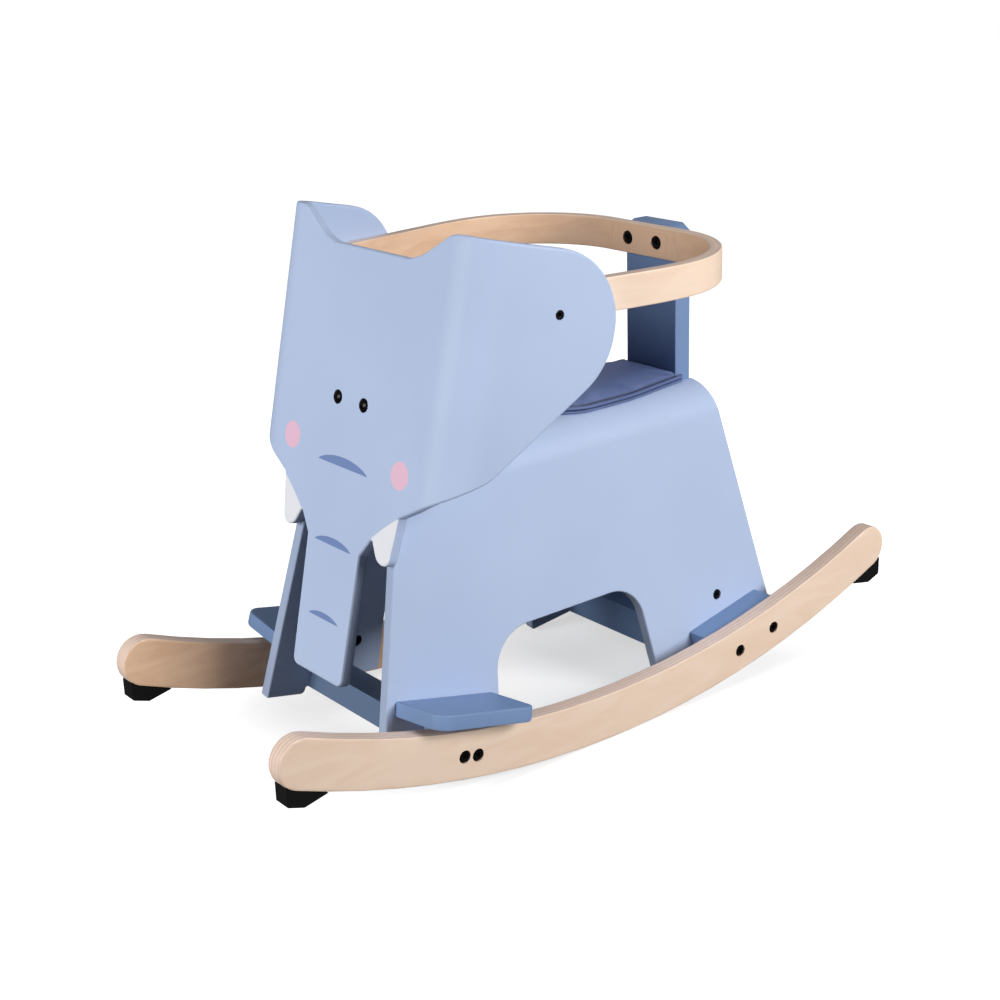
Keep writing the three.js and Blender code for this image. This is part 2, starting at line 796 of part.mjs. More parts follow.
// Spacers between the sides and the rockers
const saddleRoom = solid(along(
	rounded(saddleSection(saddleHalf + clearance, seatTop, 0)),
	-leanFoot - overrun,
	leanFoot + overrun,
));
const frontSpacer = [
	[...leaned(frontEnd, frontSpacerDepth, spacerFoot), 0],
	[...leaned(frontEnd, frontSpacerDepth + frontSpacerLength, spacerFoot), 0],
	[...leaned(frontEnd, frontSpacerDepth + frontSpacerLength, spacerTop), 0],
	[...leaned(frontEnd, frontSpacerDepth, spacerTop), 0],
];
const rearSpacer = [
	[...leaned(rearEnd, rearSpacerDepth, spacerFoot), 0],
	[...leaned(rearEnd, rearSpacerDepth + rearSpacerLength, spacerFoot), 0],
	[...leaned(rearEnd, rearSpacerDepth + rearSpacerLength, rearSpacerTop + rearSpacerLift), 0],
	[...leaned(rearEnd, rearSpacerDepth + rearSpacerCut, rearSpacerTop), rearSpacerRound],
	[...leaned(rearEnd, rearSpacerDepth, rearSpacerTop - rearSpacerCut), 0],
];
for (const [name, outline] of [['front_spacer', frontSpacer], ['rear_spacer', rearSpacer]]) {
	const block = solid(across(rounded(outline), 0, rockerInner - clearance));
	addPair(name, block.subtract(saddleRoom), midBlue);
}

// Footrests, square to the sides
const footrestOutline = rounded([
	[clearance, 0, 0],
	[footrestReach, 0, footrestFrontRound],
	[footrestReach, footrestRun.length(), footrestRearRound],
	[clearance, footrestRun.length(), 0],
]);
const footrest = slab(footrestOutline, footrestThick, boardEdge)
	.translate(0, 0, -footrestThick)
	.applyMatrix4(footrestFrame);
addPair('footrest', solid(footrest), midBlue);

// Seat cushion: a tucked border between two welts, under a low crown
function cushion() {
	const rear = postFront - cushionRearGap;
	const outline = rounded([
		[cushionRearHalf, rear, cushionRearRound],
		[-cushionRearHalf, rear, cushionRearRound],
		[-cushionHalf, cushionWidest, cushionSideRound],
		[-cushionHalf, cushionShoulder, cushionShoulderRound],
		[-cushionNoseHalf, -cushionFront, cushionNoseRound],
		[cushionNoseHalf, -cushionFront, cushionNoseRound],
		[cushionHalf, cushionShoulder, cushionShoulderRound],
		[cushionHalf, cushionWidest, cushionSideRound],
	]);
	const centre = new THREE.Vector2(0, (rear - cushionFront) / 2);
	const crown = cushionTall - cushionBorder;
	const crownShares = [[0.05, 0.35], [0.16, 0.66], [0.36, 0.88], [0.65, 0.98]];
	const border = [
		[cushionTuck, 0], [0, cushionTuck], [cushionTuck, cushionBorder / 2],
		[0, cushionBorder - cushionTuck], [cushionTuck, cushionBorder],
	];
	const rings = [
		...border.map(([inward, rise]) => [inset(outline, inward), rise]),
		...crownShares.map(([inShare, riseShare]) => [
			outline.map((point) => point.clone().lerp(centre, inShare)),
			cushionBorder + crown * riseShare,
		]),
	];
	const positions = rings.flatMap(([points, rise]) => points.flatMap((point) => [point.x, point.y, rise]));
	const count = outline.length;
	const foot = rings.length * count;
	const peak = foot + 1;
	const last = foot - count;
	positions.push(centre.x, centre.y, 0, centre.x, centre.y, cushionTall);
	const triangles = bands(rings.length, count).map(([a, b, c]) => [a, c, b]);
	for (let point = 0; point < count; point += 1) {
		const next = (point + 1) % count;
		triangles.push([foot, next, point], [peak, last + point, last + next]);
	}
	return indexed(positions, triangles.flat());
}

addMesh(elephant, 'seat_cushion', cushion(), leatherette).position.z = seatTop + clearance;

export default elephant;
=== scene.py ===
"""A child's rocking elephant, dressed on its CAD frame.

The saddle and the head are bent again here as finer sheets with eased edges, the guard hoop is a
laminated strip, the cushion is a simulated pad and the bolts get their hexagon sockets. The flat
boards, the rockers and the rubber stops stay as the CAD has them and get paint, birch and rubber.
Sizes are in millimetres until a mesh is built, which is in metres.
"""

import logging
import math
from collections.abc import Callable, Sequence
from dataclasses import dataclass, field
from enum import Enum

import bmesh
import bpy
import numpy
from mathutils import Matrix, Vector
from mathutils.bvhtree import BVHTree
from mathutils.geometry import tessellate_polygon


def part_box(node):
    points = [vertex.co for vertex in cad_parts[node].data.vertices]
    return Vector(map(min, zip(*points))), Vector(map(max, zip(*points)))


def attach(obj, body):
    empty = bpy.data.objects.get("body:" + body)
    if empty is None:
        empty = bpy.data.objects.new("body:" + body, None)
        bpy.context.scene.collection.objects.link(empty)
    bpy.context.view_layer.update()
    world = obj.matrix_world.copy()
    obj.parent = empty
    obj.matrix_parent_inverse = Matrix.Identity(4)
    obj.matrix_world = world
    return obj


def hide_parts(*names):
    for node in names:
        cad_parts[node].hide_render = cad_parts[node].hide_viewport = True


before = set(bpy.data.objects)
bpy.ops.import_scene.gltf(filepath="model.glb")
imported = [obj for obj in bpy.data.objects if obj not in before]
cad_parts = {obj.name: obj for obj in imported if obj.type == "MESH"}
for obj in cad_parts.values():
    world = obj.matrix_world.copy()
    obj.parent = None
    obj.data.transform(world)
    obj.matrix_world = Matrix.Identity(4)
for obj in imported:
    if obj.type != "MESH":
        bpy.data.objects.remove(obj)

MM = 0.001
SHARP = 38
SOFT = 80
HANDS = ("left", "right")
WHITE = (1.0, 1.0, 1.0, 1.0)
UP = Vector((0, 0, 1))
LOG = logging.getLogger("rocking_elephant")
Colour = tuple[float, float, float, float]
Flat = tuple[float, float]
Corner = tuple[float, float, float]


def display(red: int, green: int, blue: int) -> Colour:
    """Turns a colour as a screen shows it into the linear colour that a shader takes.

    Args:
        red: The red level, from 0 to 255.
        green: The green level.
        blue: The blue level.

    Returns:
        The colour, with an alpha of 1.
    """
    shares = [level / 255 for level in (red, green, blue)]
    linear = [s / 12.92 if s <= 0.04045 else ((s + 0.055) / 1.055) ** 2.4 for s in shares]
    return (*linear, 1.0)


def toned(colour: Colour, share: float) -> Colour:
    """Makes a colour darker, or paler where the share is over 1."""
    return (*(level * share for level in colour[:3]), 1.0)


# Objects and their meshes


def placed(name: str, data: bpy.types.ID) -> bpy.types.Object:
    """Puts a new object into the scene.

    Args:
        name: The object's name.
        data: Its mesh, lamp or camera.

    Returns:
        The object.
    """
    made = bpy.data.objects.new(name, data)
    bpy.context.collection.objects.link(made)
    return made


def shown(piece: bpy.types.Object) -> bpy.types.Mesh:
    """Gives what a piece's modifiers make of it as a plain mesh."""
    graph = bpy.context.evaluated_depsgraph_get()
    return bpy.data.meshes.new_from_object(piece.evaluated_get(graph), depsgraph=graph)


def bake_down(piece: bpy.types.Object) -> None:
    """Makes what a piece's modifiers show its own mesh, and removes them.

    Args:
        piece: The piece.
    """
    mesh = shown(piece)
    piece.modifiers.clear()
    piece.data = mesh


def wire(
    name: str, points: Sequence[Sequence[float]], edges: Sequence[tuple[int, int]] = ()
) -> bpy.types.Mesh:
    """Makes a mesh of points in metres, and of edges between them.

    Args:
        name: The mesh's name.
        points: The points.
        edges: Pairs of their numbers.

    Returns:
        The mesh.
    """
    mesh = bpy.data.meshes.new(name)
    mesh.from_pydata(points, edges, [])
    return mesh


def as_mesh(name: str, made: bmesh.types.BMesh) -> bpy.types.Mesh:
    """Makes a plain mesh of one that was built in code, which is freed.

    Args:
        name: The mesh's name.
        made: What was built.

    Returns:
        The mesh.
    """
    mesh = bpy.data.meshes.new(name)
    made.to_mesh(mesh)
    made.free()
    return mesh


def as_piece(
    name: str, made: bmesh.types.BMesh, finish: bpy.types.Material, sharp: float = SHARP
) -> bpy.types.Object:
    """Turns a mesh in millimetres into a piece in metres.

    Args:
        name: The piece's name.
        made: Its mesh, which is freed.
        finish: Its material.
        sharp: Edges that turn by more degrees than this stay crisp.

    Returns:
        The piece.
    """
    bmesh.ops.scale(made, vec=(MM,) * 3, verts=made.verts)
    bmesh.ops.recalc_face_normals(made, faces=made.faces)
    limit = math.radians(sharp)
    for face in made.faces:
        face.smooth = True
    for edge in made.edges:
        edge.smooth = len(edge.link_faces) == 2 and edge.calc_face_angle(0) < limit
    mesh = as_mesh(name, made)
    mesh.materials.append(finish)
    return placed(name, mesh)


def smooth_by_angle(mesh: bpy.types.Mesh, degrees: float = SHARP) -> None:
    """Shades a mesh smoothly, with the edges that turn by more degrees kept crisp."""
    mesh.polygons.foreach_set("use_smooth", [True] * len(mesh.polygons))
    mesh.set_sharp_from_angle(angle=math.radians(degrees))


def even_shading(piece: bpy.types.Object, weight: int = 80) -> None:
    """Lets a piece's broad faces lead its shading, so that eased edges catch a clean light.

    Args:
        piece: The piece.
        weight: How far the broad faces lead; 50 is neutral.
    """
    modifier = piece.modifiers.new("even_shading", "WEIGHTED_NORMAL")
    modifier.keep_sharp = True
    modifier.weight = weight


def settle(piece: bpy.types.Object, slot: str, *nodes: str) -> None:
    """Gives a finished piece to the frame.

    Args:
        piece: The piece.
        slot: The name of the record's material slot for it, which is not used.
        nodes: The CAD nodes that it stands for.
    """
    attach(piece, "root")
    if nodes:
        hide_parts(*nodes)
    LOG.info("%s: %d faces", piece.name, len(piece.data.polygons))


# Node trees


class Number:
    """A number in a node tree; arithmetic on it adds Math nodes."""

    def __init__(self, nodes: "Nodes", socket: bpy.types.NodeSocket) -> None:
        """Wraps a socket of a tree."""
        self.nodes = nodes
        self.socket = socket

    def __add__(self, other: "Number | float") -> "Number":
        """Adds."""
        return self.nodes.math("ADD", self, other)

    __radd__ = __add__

    def __sub__(self, other: "Number | float") -> "Number":
        """Takes another number away."""
        return self.nodes.math("SUBTRACT", self, other)

    def __rsub__(self, other: float) -> "Number":
        """Is taken away from a plain number."""
        return self.nodes.math("SUBTRACT", other, self)

    def __mul__(self, other: "Number | float") -> "Number":
        """Multiplies."""
        return self.nodes.math("MULTIPLY", self, other)

    __rmul__ = __mul__

    def __truediv__(self, other: "Number | float") -> "Number":
        """Divides."""
        return self.nodes.math("DIVIDE", self, other)

    def __abs__(self) -> "Number":
        """Drops the sign."""
        return self.nodes.math("ABSOLUTE", self)

    def part(self) -> "Number":
        """Keeps what follows the point."""
        return self.nodes.math("FRACT", self)

    def rises(self, start: float, end: float) -> "Number":
        """Goes from 0 at start to 1 at end, smoothly; end may lie below start.

        Args:
            start: Where the result leaves 0.
            end: Where the result reaches 1.

        Returns:
            A mask from 0 to 1.
        """
        settings = {"interpolation_type": "SMOOTHSTEP"}
        values = {"Value": self, "From Min": min(start, end), "From Max": max(start, end)}
        values |= {"To Min": float(start > end), "To Max": float(start < end)}
        return Number(self.nodes, self.nodes.add("ShaderNodeMapRange", settings, values))


class Nodes:
    """A node tree in the making."""

    def __init__(self, tree: bpy.types.NodeTree) -> None:
        """Starts from a tree."""
        self.tree = tree

    def add(
        self,
        kind: str,
        settings: dict[str, object] | None = None,
        values: dict[str | int, object] | None = None,
        output: str | int = 0,
    ) -> bpy.types.NodeSocket:
        """Adds a node.

        Args:
            kind: The node's type.
            settings: Properties of the node, which are set first.
            values: Plain values, sockets or numbers for its inputs, by name or place.
            output: The output that is wanted.

        Returns:
            The node's output socket.
        """
        node = self.tree.nodes.new(kind)
        for key, value in (settings or {}).items():
            setattr(node, key, value)
        for key, value in (values or {}).items():
            source = value.socket if isinstance(value, Number) else value
            if isinstance(source, bpy.types.NodeSocket):
                self.tree.links.new(source, node.inputs[key])
            else:
                node.inputs[key].default_value = source
        return node.outputs[output]

    def math(self, operation: str, *values: Number | float) -> Number:
        """Adds a Math node."""
        settings = {"operation": operation}
        return Number(self, self.add("ShaderNodeMath", settings, dict(enumerate(values))))

    def end_in(self, kind: str, source: bpy.types.NodeSocket) -> None:
        """Ends the tree in an output node of a kind, fed by a socket."""
        self.tree.links.new(source, self.tree.nodes.new(kind).inputs[0])


class Shading(Nodes):
    """One material's node tree, built from its coordinates towards its shader."""

    def __init__(self, name: str, constants: dict[str, float]) -> None:
        """Starts a material.

        Args:
            name: The material's name.
            constants: Values set on the shader's own sockets.
        """
        self.material = bpy.data.materials.new(name)
        self.material.use_nodes = True
        super().__init__(self.material.node_tree)
        self.tree.nodes.clear()
        surface = self.add("ShaderNodeBsdfPrincipled", values=constants)
        self.shader = surface.node
        self.end_in("ShaderNodeOutputMaterial", surface)

    def place(self) -> bpy.types.NodeSocket:
        """Gives the place on the piece, in metres."""
        return self.add("ShaderNodeTexCoord", output="Object")

    def axes(self, vector: bpy.types.NodeSocket | None = None) -> list[Number]:
        """Splits a vector, by default the place on the piece, into millimetres along X, Y and Z."""
        split = self.add("ShaderNodeSeparateXYZ", values={0: vector or self.place()}).node
        return [Number(self, socket) / MM for socket in split.outputs]

    def vector(self, x: Number, y: Number, z: Number) -> bpy.types.NodeSocket:
        """Joins three numbers."""
        return self.add("ShaderNodeCombineXYZ", values={0: x, 1: y, 2: z})

    def stretched(
        self, vector: bpy.types.NodeSocket, scale: Corner, turn: Corner = (0, 0, 0)
    ) -> bpy.types.NodeSocket:
        """Turns and stretches a pattern's coordinates."""
        values = {"Vector": vector, "Rotation": turn, "Scale": scale}
        return self.add("ShaderNodeMapping", values=values)

    def noise(
        self, vector: bpy.types.NodeSocket, scale: float, detail: float = 3, warp: float = 0
    ) -> Number:
        """Adds soft noise from 0 to 1."""
        values = {"Vector": vector, "Scale": scale, "Detail": detail, "Distortion": warp}
        return Number(self, self.add("ShaderNodeTexNoise", {"normalize": True}, values))

    def attribute(self, name: str) -> bpy.types.NodeSocket:
        """Reads a vector that the piece's mesh carries."""
        return self.add("ShaderNodeAttribute", {"attribute_name": name}, output="Vector")

    def share(self, name: str) -> Number:
        """Reads a number that the piece's mesh carries, which is 0 where it carries none."""
        return Number(self, self.add("ShaderNodeAttribute", {"attribute_name": name}, output="Fac"))

    def mix(self, share: Number, low: object, high: object) -> bpy.types.NodeSocket:
        """Goes from a low colour, where the share is 0, to a high one, where it is 1."""
        settings = {"data_type": "RGBA", "clamp_factor": True}
        return self.add("ShaderNodeMix", settings, {0: share, 6: low, 7: high}, output=2)

    def bump(self, height: Number, depth: float, strength: float = 1.0) -> None:
        """Raises the surface by a height of 0 to 1, as far as depth in millimetres."""
        values = {"Strength": strength, "Distance": depth * MM, "Height": height}
        self.feed("Normal", self.add("ShaderNodeBump", values=values))

    def feed(self, socket: str, source: Number | bpy.types.NodeSocket) -> None:
        """Links what changes over the surface to the shader."""
        wanted = source.socket if isinstance(source, Number) else source
        self.tree.links.new(wanted, self.shader.inputs[socket])


class Growth(Nodes):
    """A Geometry Nodes tree with named inputs that makes what repeats or follows a path."""

    def __init__(self, name: str, **inputs: str) -> None:
        """Starts a tree.

        Args:
            name: The tree's name.
            inputs: The kind of each named input, such as "Float".
        """
        super().__init__(bpy.data.node_groups.new(name, "GeometryNodeTree"))
        sides = self.tree.interface
        sides.new_socket("Geometry", in_out="INPUT", socket_type="NodeSocketGeometry")
        sides.new_socket("Geometry", in_out="OUTPUT", socket_type="NodeSocketGeometry")
        self.sockets = {}
        for label, kind in {**inputs, "Finish": "Material"}.items():
            made = sides.new_socket(label, in_out="INPUT", socket_type=f"NodeSocket{kind}")
            self.sockets[label] = made.identifier
        self.group = self.tree.nodes.new("NodeGroupInput")

    def given(self, label: str = "Geometry") -> bpy.types.NodeSocket:
        """Gives a named input, by default the geometry that the tree starts from."""
        return self.group.outputs[label]

    def number(self, label: str) -> Number:
        """Gives a named input to reckon with."""
        return Number(self, self.given(label))

    def store(
        self, geometry: bpy.types.NodeSocket, name: str, value: object, kind: str = "FLOAT"
    ) -> bpy.types.NodeSocket:
        """Notes a value on each point.

        Args:
            geometry: The geometry with the points.
            name: What the value is noted as.
            value: The value's socket.
            kind: What kind of value it is.

        Returns:
            The geometry that carries it.
        """
        settings = {"data_type": kind, "domain": "POINT"}
        values = {"Geometry": geometry, "Name": name, "Value": value}
        return self.add("GeometryNodeStoreNamedAttribute", settings, values)

    def read(self, name: str, kind: str = "FLOAT") -> bpy.types.NodeSocket:
        """Reads a value that was noted on each point."""
        return self.add("GeometryNodeInputNamedAttribute", {"data_type": kind}, {"Name": name})

    def facing(self, direction: bpy.types.NodeSocket) -> bpy.types.NodeSocket:
        """Gives the rotation that turns Z to a direction."""
        return self.add("FunctionNodeAlignRotationToVector", {"axis": "Z"}, {"Vector": direction})

    def end(self, geometry: bpy.types.NodeSocket) -> None:
        """Ends the tree with real geometry that carries its finish.

        Args:
            geometry: What the tree has made.
        """
        real = self.add("GeometryNodeRealizeInstances", values={"Geometry": geometry})
        values = {"Geometry": real, "Material": self.given("Finish")}
        self.end_in("NodeGroupOutput", self.add("GeometryNodeSetMaterial", values=values))

    def end_in_copies(self, **values: object) -> None:
        """Ends the tree with a copy of a piece on each point."""
        self.end(self.add("GeometryNodeInstanceOnPoints", values=values))

    def attach(self, piece: bpy.types.Object, **values: object) -> None:
        """Makes a piece show what the tree makes of its mesh.

        Args:
            piece: The piece.
            values: A value for each named input.
        """
        modifier = piece.modifiers.new(self.tree.name, "NODES")
        modifier.node_group = self.tree
        for label, value in values.items():
            modifier[self.sockets[label]] = value

    def grow(self, name: str, base: bpy.types.Mesh, **values: object) -> bpy.types.Object:
        """Runs the tree on a mesh and keeps the result as a plain mesh.

        Args:
            name: The new piece's name.
            base: The mesh that the tree starts from.
            values: A value for each named input.

        Returns:
            The new piece.
        """
        seed = placed(f"{name}_seed", base)
        self.attach(seed, **values)
        mesh = shown(seed)
        bpy.data.objects.remove(seed)
        mesh.name = name
        return placed(name, mesh)


# The lean and the splay


@dataclass(frozen=True)
class Stance:
    """The angles that the saddle, the head and the hoop share."""

    lean: float = math.radians(12.76)
    foot: float = 285
    splay: float = math.radians(8)

    def leaned(self, end: int, depth: float, rise: float) -> Flat:
        """Gives how far along and up a depth and a rise lie, from the rear (1) or front (-1)."""
        sine, cosine = math.sin(self.lean), math.cos(self.lean)
        return end * (self.foot - depth * cosine - rise * sine), rise * cosine - depth * sine


# Finishes


@dataclass(frozen=True)
class Birch:
    """Clear-lacquered birch plywood, with its plies showing along the cut edges and painted shade on
    its inner faces.
    """

    face: Colour = display(254, 230, 208)
    figure: Colour = display(246, 213, 187)
    ply: Colour = display(246, 222, 204)
    cross: Colour = display(226, 198, 184)
    line: Colour = display(170, 136, 118)
    # Painted shade: the darker, warmer tan of the inner faces, which lie in shade.
    tan: Colour = display(251, 210, 173)
    tan_figure: Colour = display(225, 176, 137)
    board_plies: int = 9
    strip_plies: int = 5
    lacquer: float = 0.12
    lacquer_roughness: float = 0.3

    def grain(self, shading: Shading, along: bpy.types.NodeSocket) -> tuple[Number, Number]:
        """Makes the figure of a veneer.

        Args:
            shading: The material's tree.
            along: Coordinates in metres with X along the grain and Y across the face.

        Returns:
            How dark the figure is, and the height of its fibres for the bump.
        """
        turned = shading.stretched(along, (11, 44, 44), (0, 0, 0.3))
        broad = shading.noise(turned, 1, 4, 1.2)
        fibre = shading.noise(shading.stretched(along, (26, 900, 900)), 1, 4, 0.3)
        fleck = shading.noise(shading.stretched(along, (90, 1400, 1400)), 1, 2).rises(0.64, 0.8)
        return broad.rises(0.3, 0.75) * 0.55 + fibre * 0.35 + fleck * 0.35, fibre

    def layered(
        self, shading: Shading, through: Number, plies: int, along: bpy.types.NodeSocket
    ) -> bpy.types.NodeSocket:
        """Makes the plies as a cut edge shows them, and the veneer on both faces, the inner one in
        painted shade.

        Args:
            shading: The material's tree.
            through: 0 on one face of the board and 1 on the other.
            plies: How many plies the board has.
            along: Coordinates in metres with X along the grain and Y across the face.

        Returns:
            The colour.
        """
        tone, fibre = self.grain(shading, along)
        step = through * (plies - 1) + 0.5
        crossed = (step / 2).part().rises(0.47, 0.53)
        nearest = abs(step.part() - 0.5).rises(0.4, 0.47)
        inside = through.rises(0.02, 0.05) * through.rises(0.98, 0.95)
        outer = shading.mix(tone, self.face, self.figure)
        # Painted shade: the inner face takes a darker, warmer tan for the shade that it lies in.
        inner = shading.mix(tone, self.tan, self.tan_figure)
        veneer = shading.mix(through.rises(0.1, 0.02) * 0.9, outer, inner)
        streak = shading.noise(shading.stretched(along, (30, 1500, 1500)), 1, 3).rises(0.3, 0.7)
        patch = shading.noise(shading.stretched(along, (24, 200, 200)), 1, 2).rises(0.35, 0.65)
        long_ply = shading.mix(streak * 0.6, self.ply, self.figure)
        end_grain = shading.mix(streak * 0.5, self.cross, self.ply)
        plain = shading.mix(inside, veneer, shading.mix(crossed, long_ply, end_grain))
        shading.bump(fibre * 0.5 + (1 - nearest * inside) * 0.5, 0.05, 0.5)
        return shading.mix(nearest * inside * (patch * 0.45 + 0.3), plain, self.line)

    def begin(self, name: str) -> Shading:
        """Starts a material with its lacquer."""
        lacquer = {"Coat Weight": self.lacquer, "Coat Roughness": self.lacquer_roughness}
        return Shading(name, lacquer)

    def laid(
        self, shading: Shading, through: Number, plies: int, along: bpy.types.NodeSocket
    ) -> bpy.types.Material:
        """Lays the plies over a material's coordinates.

        Args:
            shading: The material's tree.
            through: 0 on one face of the board and 1 on the other.
            plies: How many plies the board has.
            along: Coordinates in metres with X along the grain and Y across the face.

        Returns:
            The material.
        """
        shading.feed("Base Color", self.layered(shading, through, plies, along))
        shading.feed("Roughness", shading.noise(along, 60, 3) * 0.16 + 0.38)
        return shading.material

    def board(self, inner: float, outer: float) -> bpy.types.Material:
        """Makes flat boards that stand across X, such as the rockers.

        Args:
            inner: Distance of the boards' inner faces from the middle of the toy.
            outer: Distance of their outer faces.

        Returns:
            The material.
        """
        shading = self.begin("birch_board")
        x, y, z = shading.axes()
        through = (abs(x) - inner) / (outer - inner)
        along = shading.vector(y * MM, z * MM, x * MM)
        return self.laid(shading, through, self.board_plies, along)

    def strip(self) -> bpy.types.Material:
        """Makes a bent laminated strip that carries its own coordinates in an attribute.

        Returns:
            The material.
        """
        shading = self.begin("birch_strip")
        run, through, rise = shading.axes(shading.attribute("strip"))
        along = shading.vector(run * MM, rise * MM, through * MM * MM)
        return self.laid(shading, through * MM, self.strip_plies, along)


class Paint(Enum):
    """The three blues that the boards are given, the slate only on the front bar."""

    PALE = display(188, 205, 236)
    MID = display(124, 151, 193)
    SLATE = display(100, 120, 150)


@dataclass(frozen=True)
class SatinPaint:
    """Satin paint over plywood: a faint orange peel, and the grain just telling through it."""

    paint: Paint
    shade: float = 0.93
    # How dark cut edges are, as a share of the paint's colour; on the head's trunk this is painted
    # shade.
    edge_dark: float = 0.55
    edge_share: float = 0.5

    def begin(self) -> tuple[Shading, bpy.types.NodeSocket]:
        """Starts the material.

        Returns:
            The material's tree, and the paint's own colour.
        """
        name = f"{self.paint.name.lower()}_blue_paint"
        shading = Shading(name, {"IOR": 1.48, "Specular IOR Level": 0.3})
        place = shading.place()
        cloud = shading.noise(place, 7, 2)
        speck = shading.noise(place, 420, 2)
        grain = shading.noise(shading.stretched(place, (900, 40, 40)), 1, 3, 0.4)
        shading.feed("Roughness", cloud * 0.1 + speck * 0.08 + 0.38)
        shading.bump(speck * 0.6 + grain * 0.4, 0.035, 0.6)
        told = cloud.rises(0.3, 0.75) * 0.6 + grain * 0.2
        return shading, shading.mix(told, self.paint.value, toned(self.paint.value, self.shade))

    def make(self) -> bpy.types.Material:
        """Makes the plain paint, darker on the cut edges.

        Returns:
            The material.
        """
        shading, colour = self.begin()
        edges = shading.share("cut") * self.edge_share
        edged = shading.mix(edges, colour, toned(self.paint.value, self.edge_dark))
        shading.feed("Base Color", edged)
        return shading.material


@dataclass(frozen=True)
class FacePaint(SatinPaint):
    """The pale blue of the head, with cheeks, mouth, trunk creases and tusks painted on its front,
    and painted shade on the trunk's cut edges.
    """

    # Painted shade on the trunk's cut edges: how strong it is, and the rise over which it fades out.
    edge_share: float = 0.9
    trunk_shade_top: Flat = (242, 222)
    cheek: Colour = display(238, 195, 217)
    crease: Colour = display(118, 141, 190)
    tusk: Colour = display(238, 240, 246)
    stance: Stance = Stance()
    skin: float = 1.2
    soft: float = 0.35
    cheek_place: Flat = (89, 317.2)
    cheek_half: float = 13.2
    tusk_root: Flat = (58.4, 250.5)
    jaw: Flat = (95.3, 278.7)
    tusk_bow: float = 1.2
    fullness: float = 0.75
    creases: tuple[Corner, ...] = ((40.7, 304.5, 9.3), (30.5, 228, 7.4), (25, 155.4, 6.2))

    def cheeks(self, shading: Shading, reach: Number, rise: Number) -> Number:
        """Marks the round cheeks.

        Args:
            shading: The material's tree.
            reach: The distance from the middle of the face.
            rise: The height up the face.

        Returns:
            A mask.
        """
        across, up = reach - self.cheek_place[0], rise - self.cheek_place[1]
        away = shading.math("SQRT", across * across + up * up)
        return away.rises(self.cheek_half + self.soft, self.cheek_half - self.soft)

    def creased(self, shading: Shading, x: Number, rise: Number, shape: Corner) -> Number:
        """Marks the mouth or a crease of the trunk, which is flat below and bowed above.

        Args:
            shading: The material's tree.
            x: The place across the face.
            rise: The height up the face.
            shape: Half the crease's width, where it lies and how tall it is.

        Returns:
            A mask.
        """
        half, foot, tall = shape
        bow = shading.math("MAXIMUM", 1 - (x / half) * (x / half), 0.0)
        over = rise - foot - shading.math("POWER", bow, self.fullness) * tall
        under = rise - foot
        mask = over.rises(self.soft, -self.soft) * under.rises(-self.soft, self.soft)
        return mask * bow.rises(0, 0.01)

    def tusks(self, reach: Number, rise: Number) -> Number:
        """Marks the tusks, which end in a bowed line from the trunk to the jaw.

        Args:
            reach: The distance from the middle of the face.
            rise: The height up the face.

        Returns:
            A mask.
        """
        root, rise_root = self.tusk_root
        slope = (self.jaw[1] - rise_root) / (self.jaw[0] - root)
        share = (reach - root) / (self.jaw[0] - root)
        bow = share * (1 - share) * (4 * self.tusk_bow)
        below = rise - rise_root - (reach - root) * slope - bow
        beside = share.rises(-0.01, 0.01) * share.rises(1.03, 1.01)
        return below.rises(self.soft, -self.soft) * beside

    def make(self) -> bpy.types.Material:
        """Makes the painted face, with painted shade on the trunk's cut edges.

        Returns:
            The material.
        """
        shading, colour = self.begin()
        x, y, z = shading.axes()
        sine, cosine = math.sin(self.stance.lean), math.cos(self.stance.lean)
        rise = (y + self.stance.foot) * sine + z * cosine
        depth = (y + self.stance.foot) * cosine - z * sine
        front = depth.rises(self.skin + self.soft, self.skin)
        reach = abs(x)

        # Painted shade: the trunk's cut edges, which face sideways into shade, are darkened.
        trunk_edge_shade = shading.share("cut") * rise.rises(*self.trunk_shade_top)
        edge_dark = toned(self.paint.value, self.edge_dark)
        colour = shading.mix(trunk_edge_shade * self.edge_share, colour, edge_dark)
        colour = shading.mix(self.cheeks(shading, reach, rise) * front, colour, self.cheek)
        for shape in self.creases:
            mask = self.creased(shading, x, rise, shape)
            colour = shading.mix(mask * front, colour, self.crease)
        colour = shading.mix(self.tusks(reach, rise) * front, colour, self.tusk)
        shading.feed("Base Color", colour)
        return shading.material


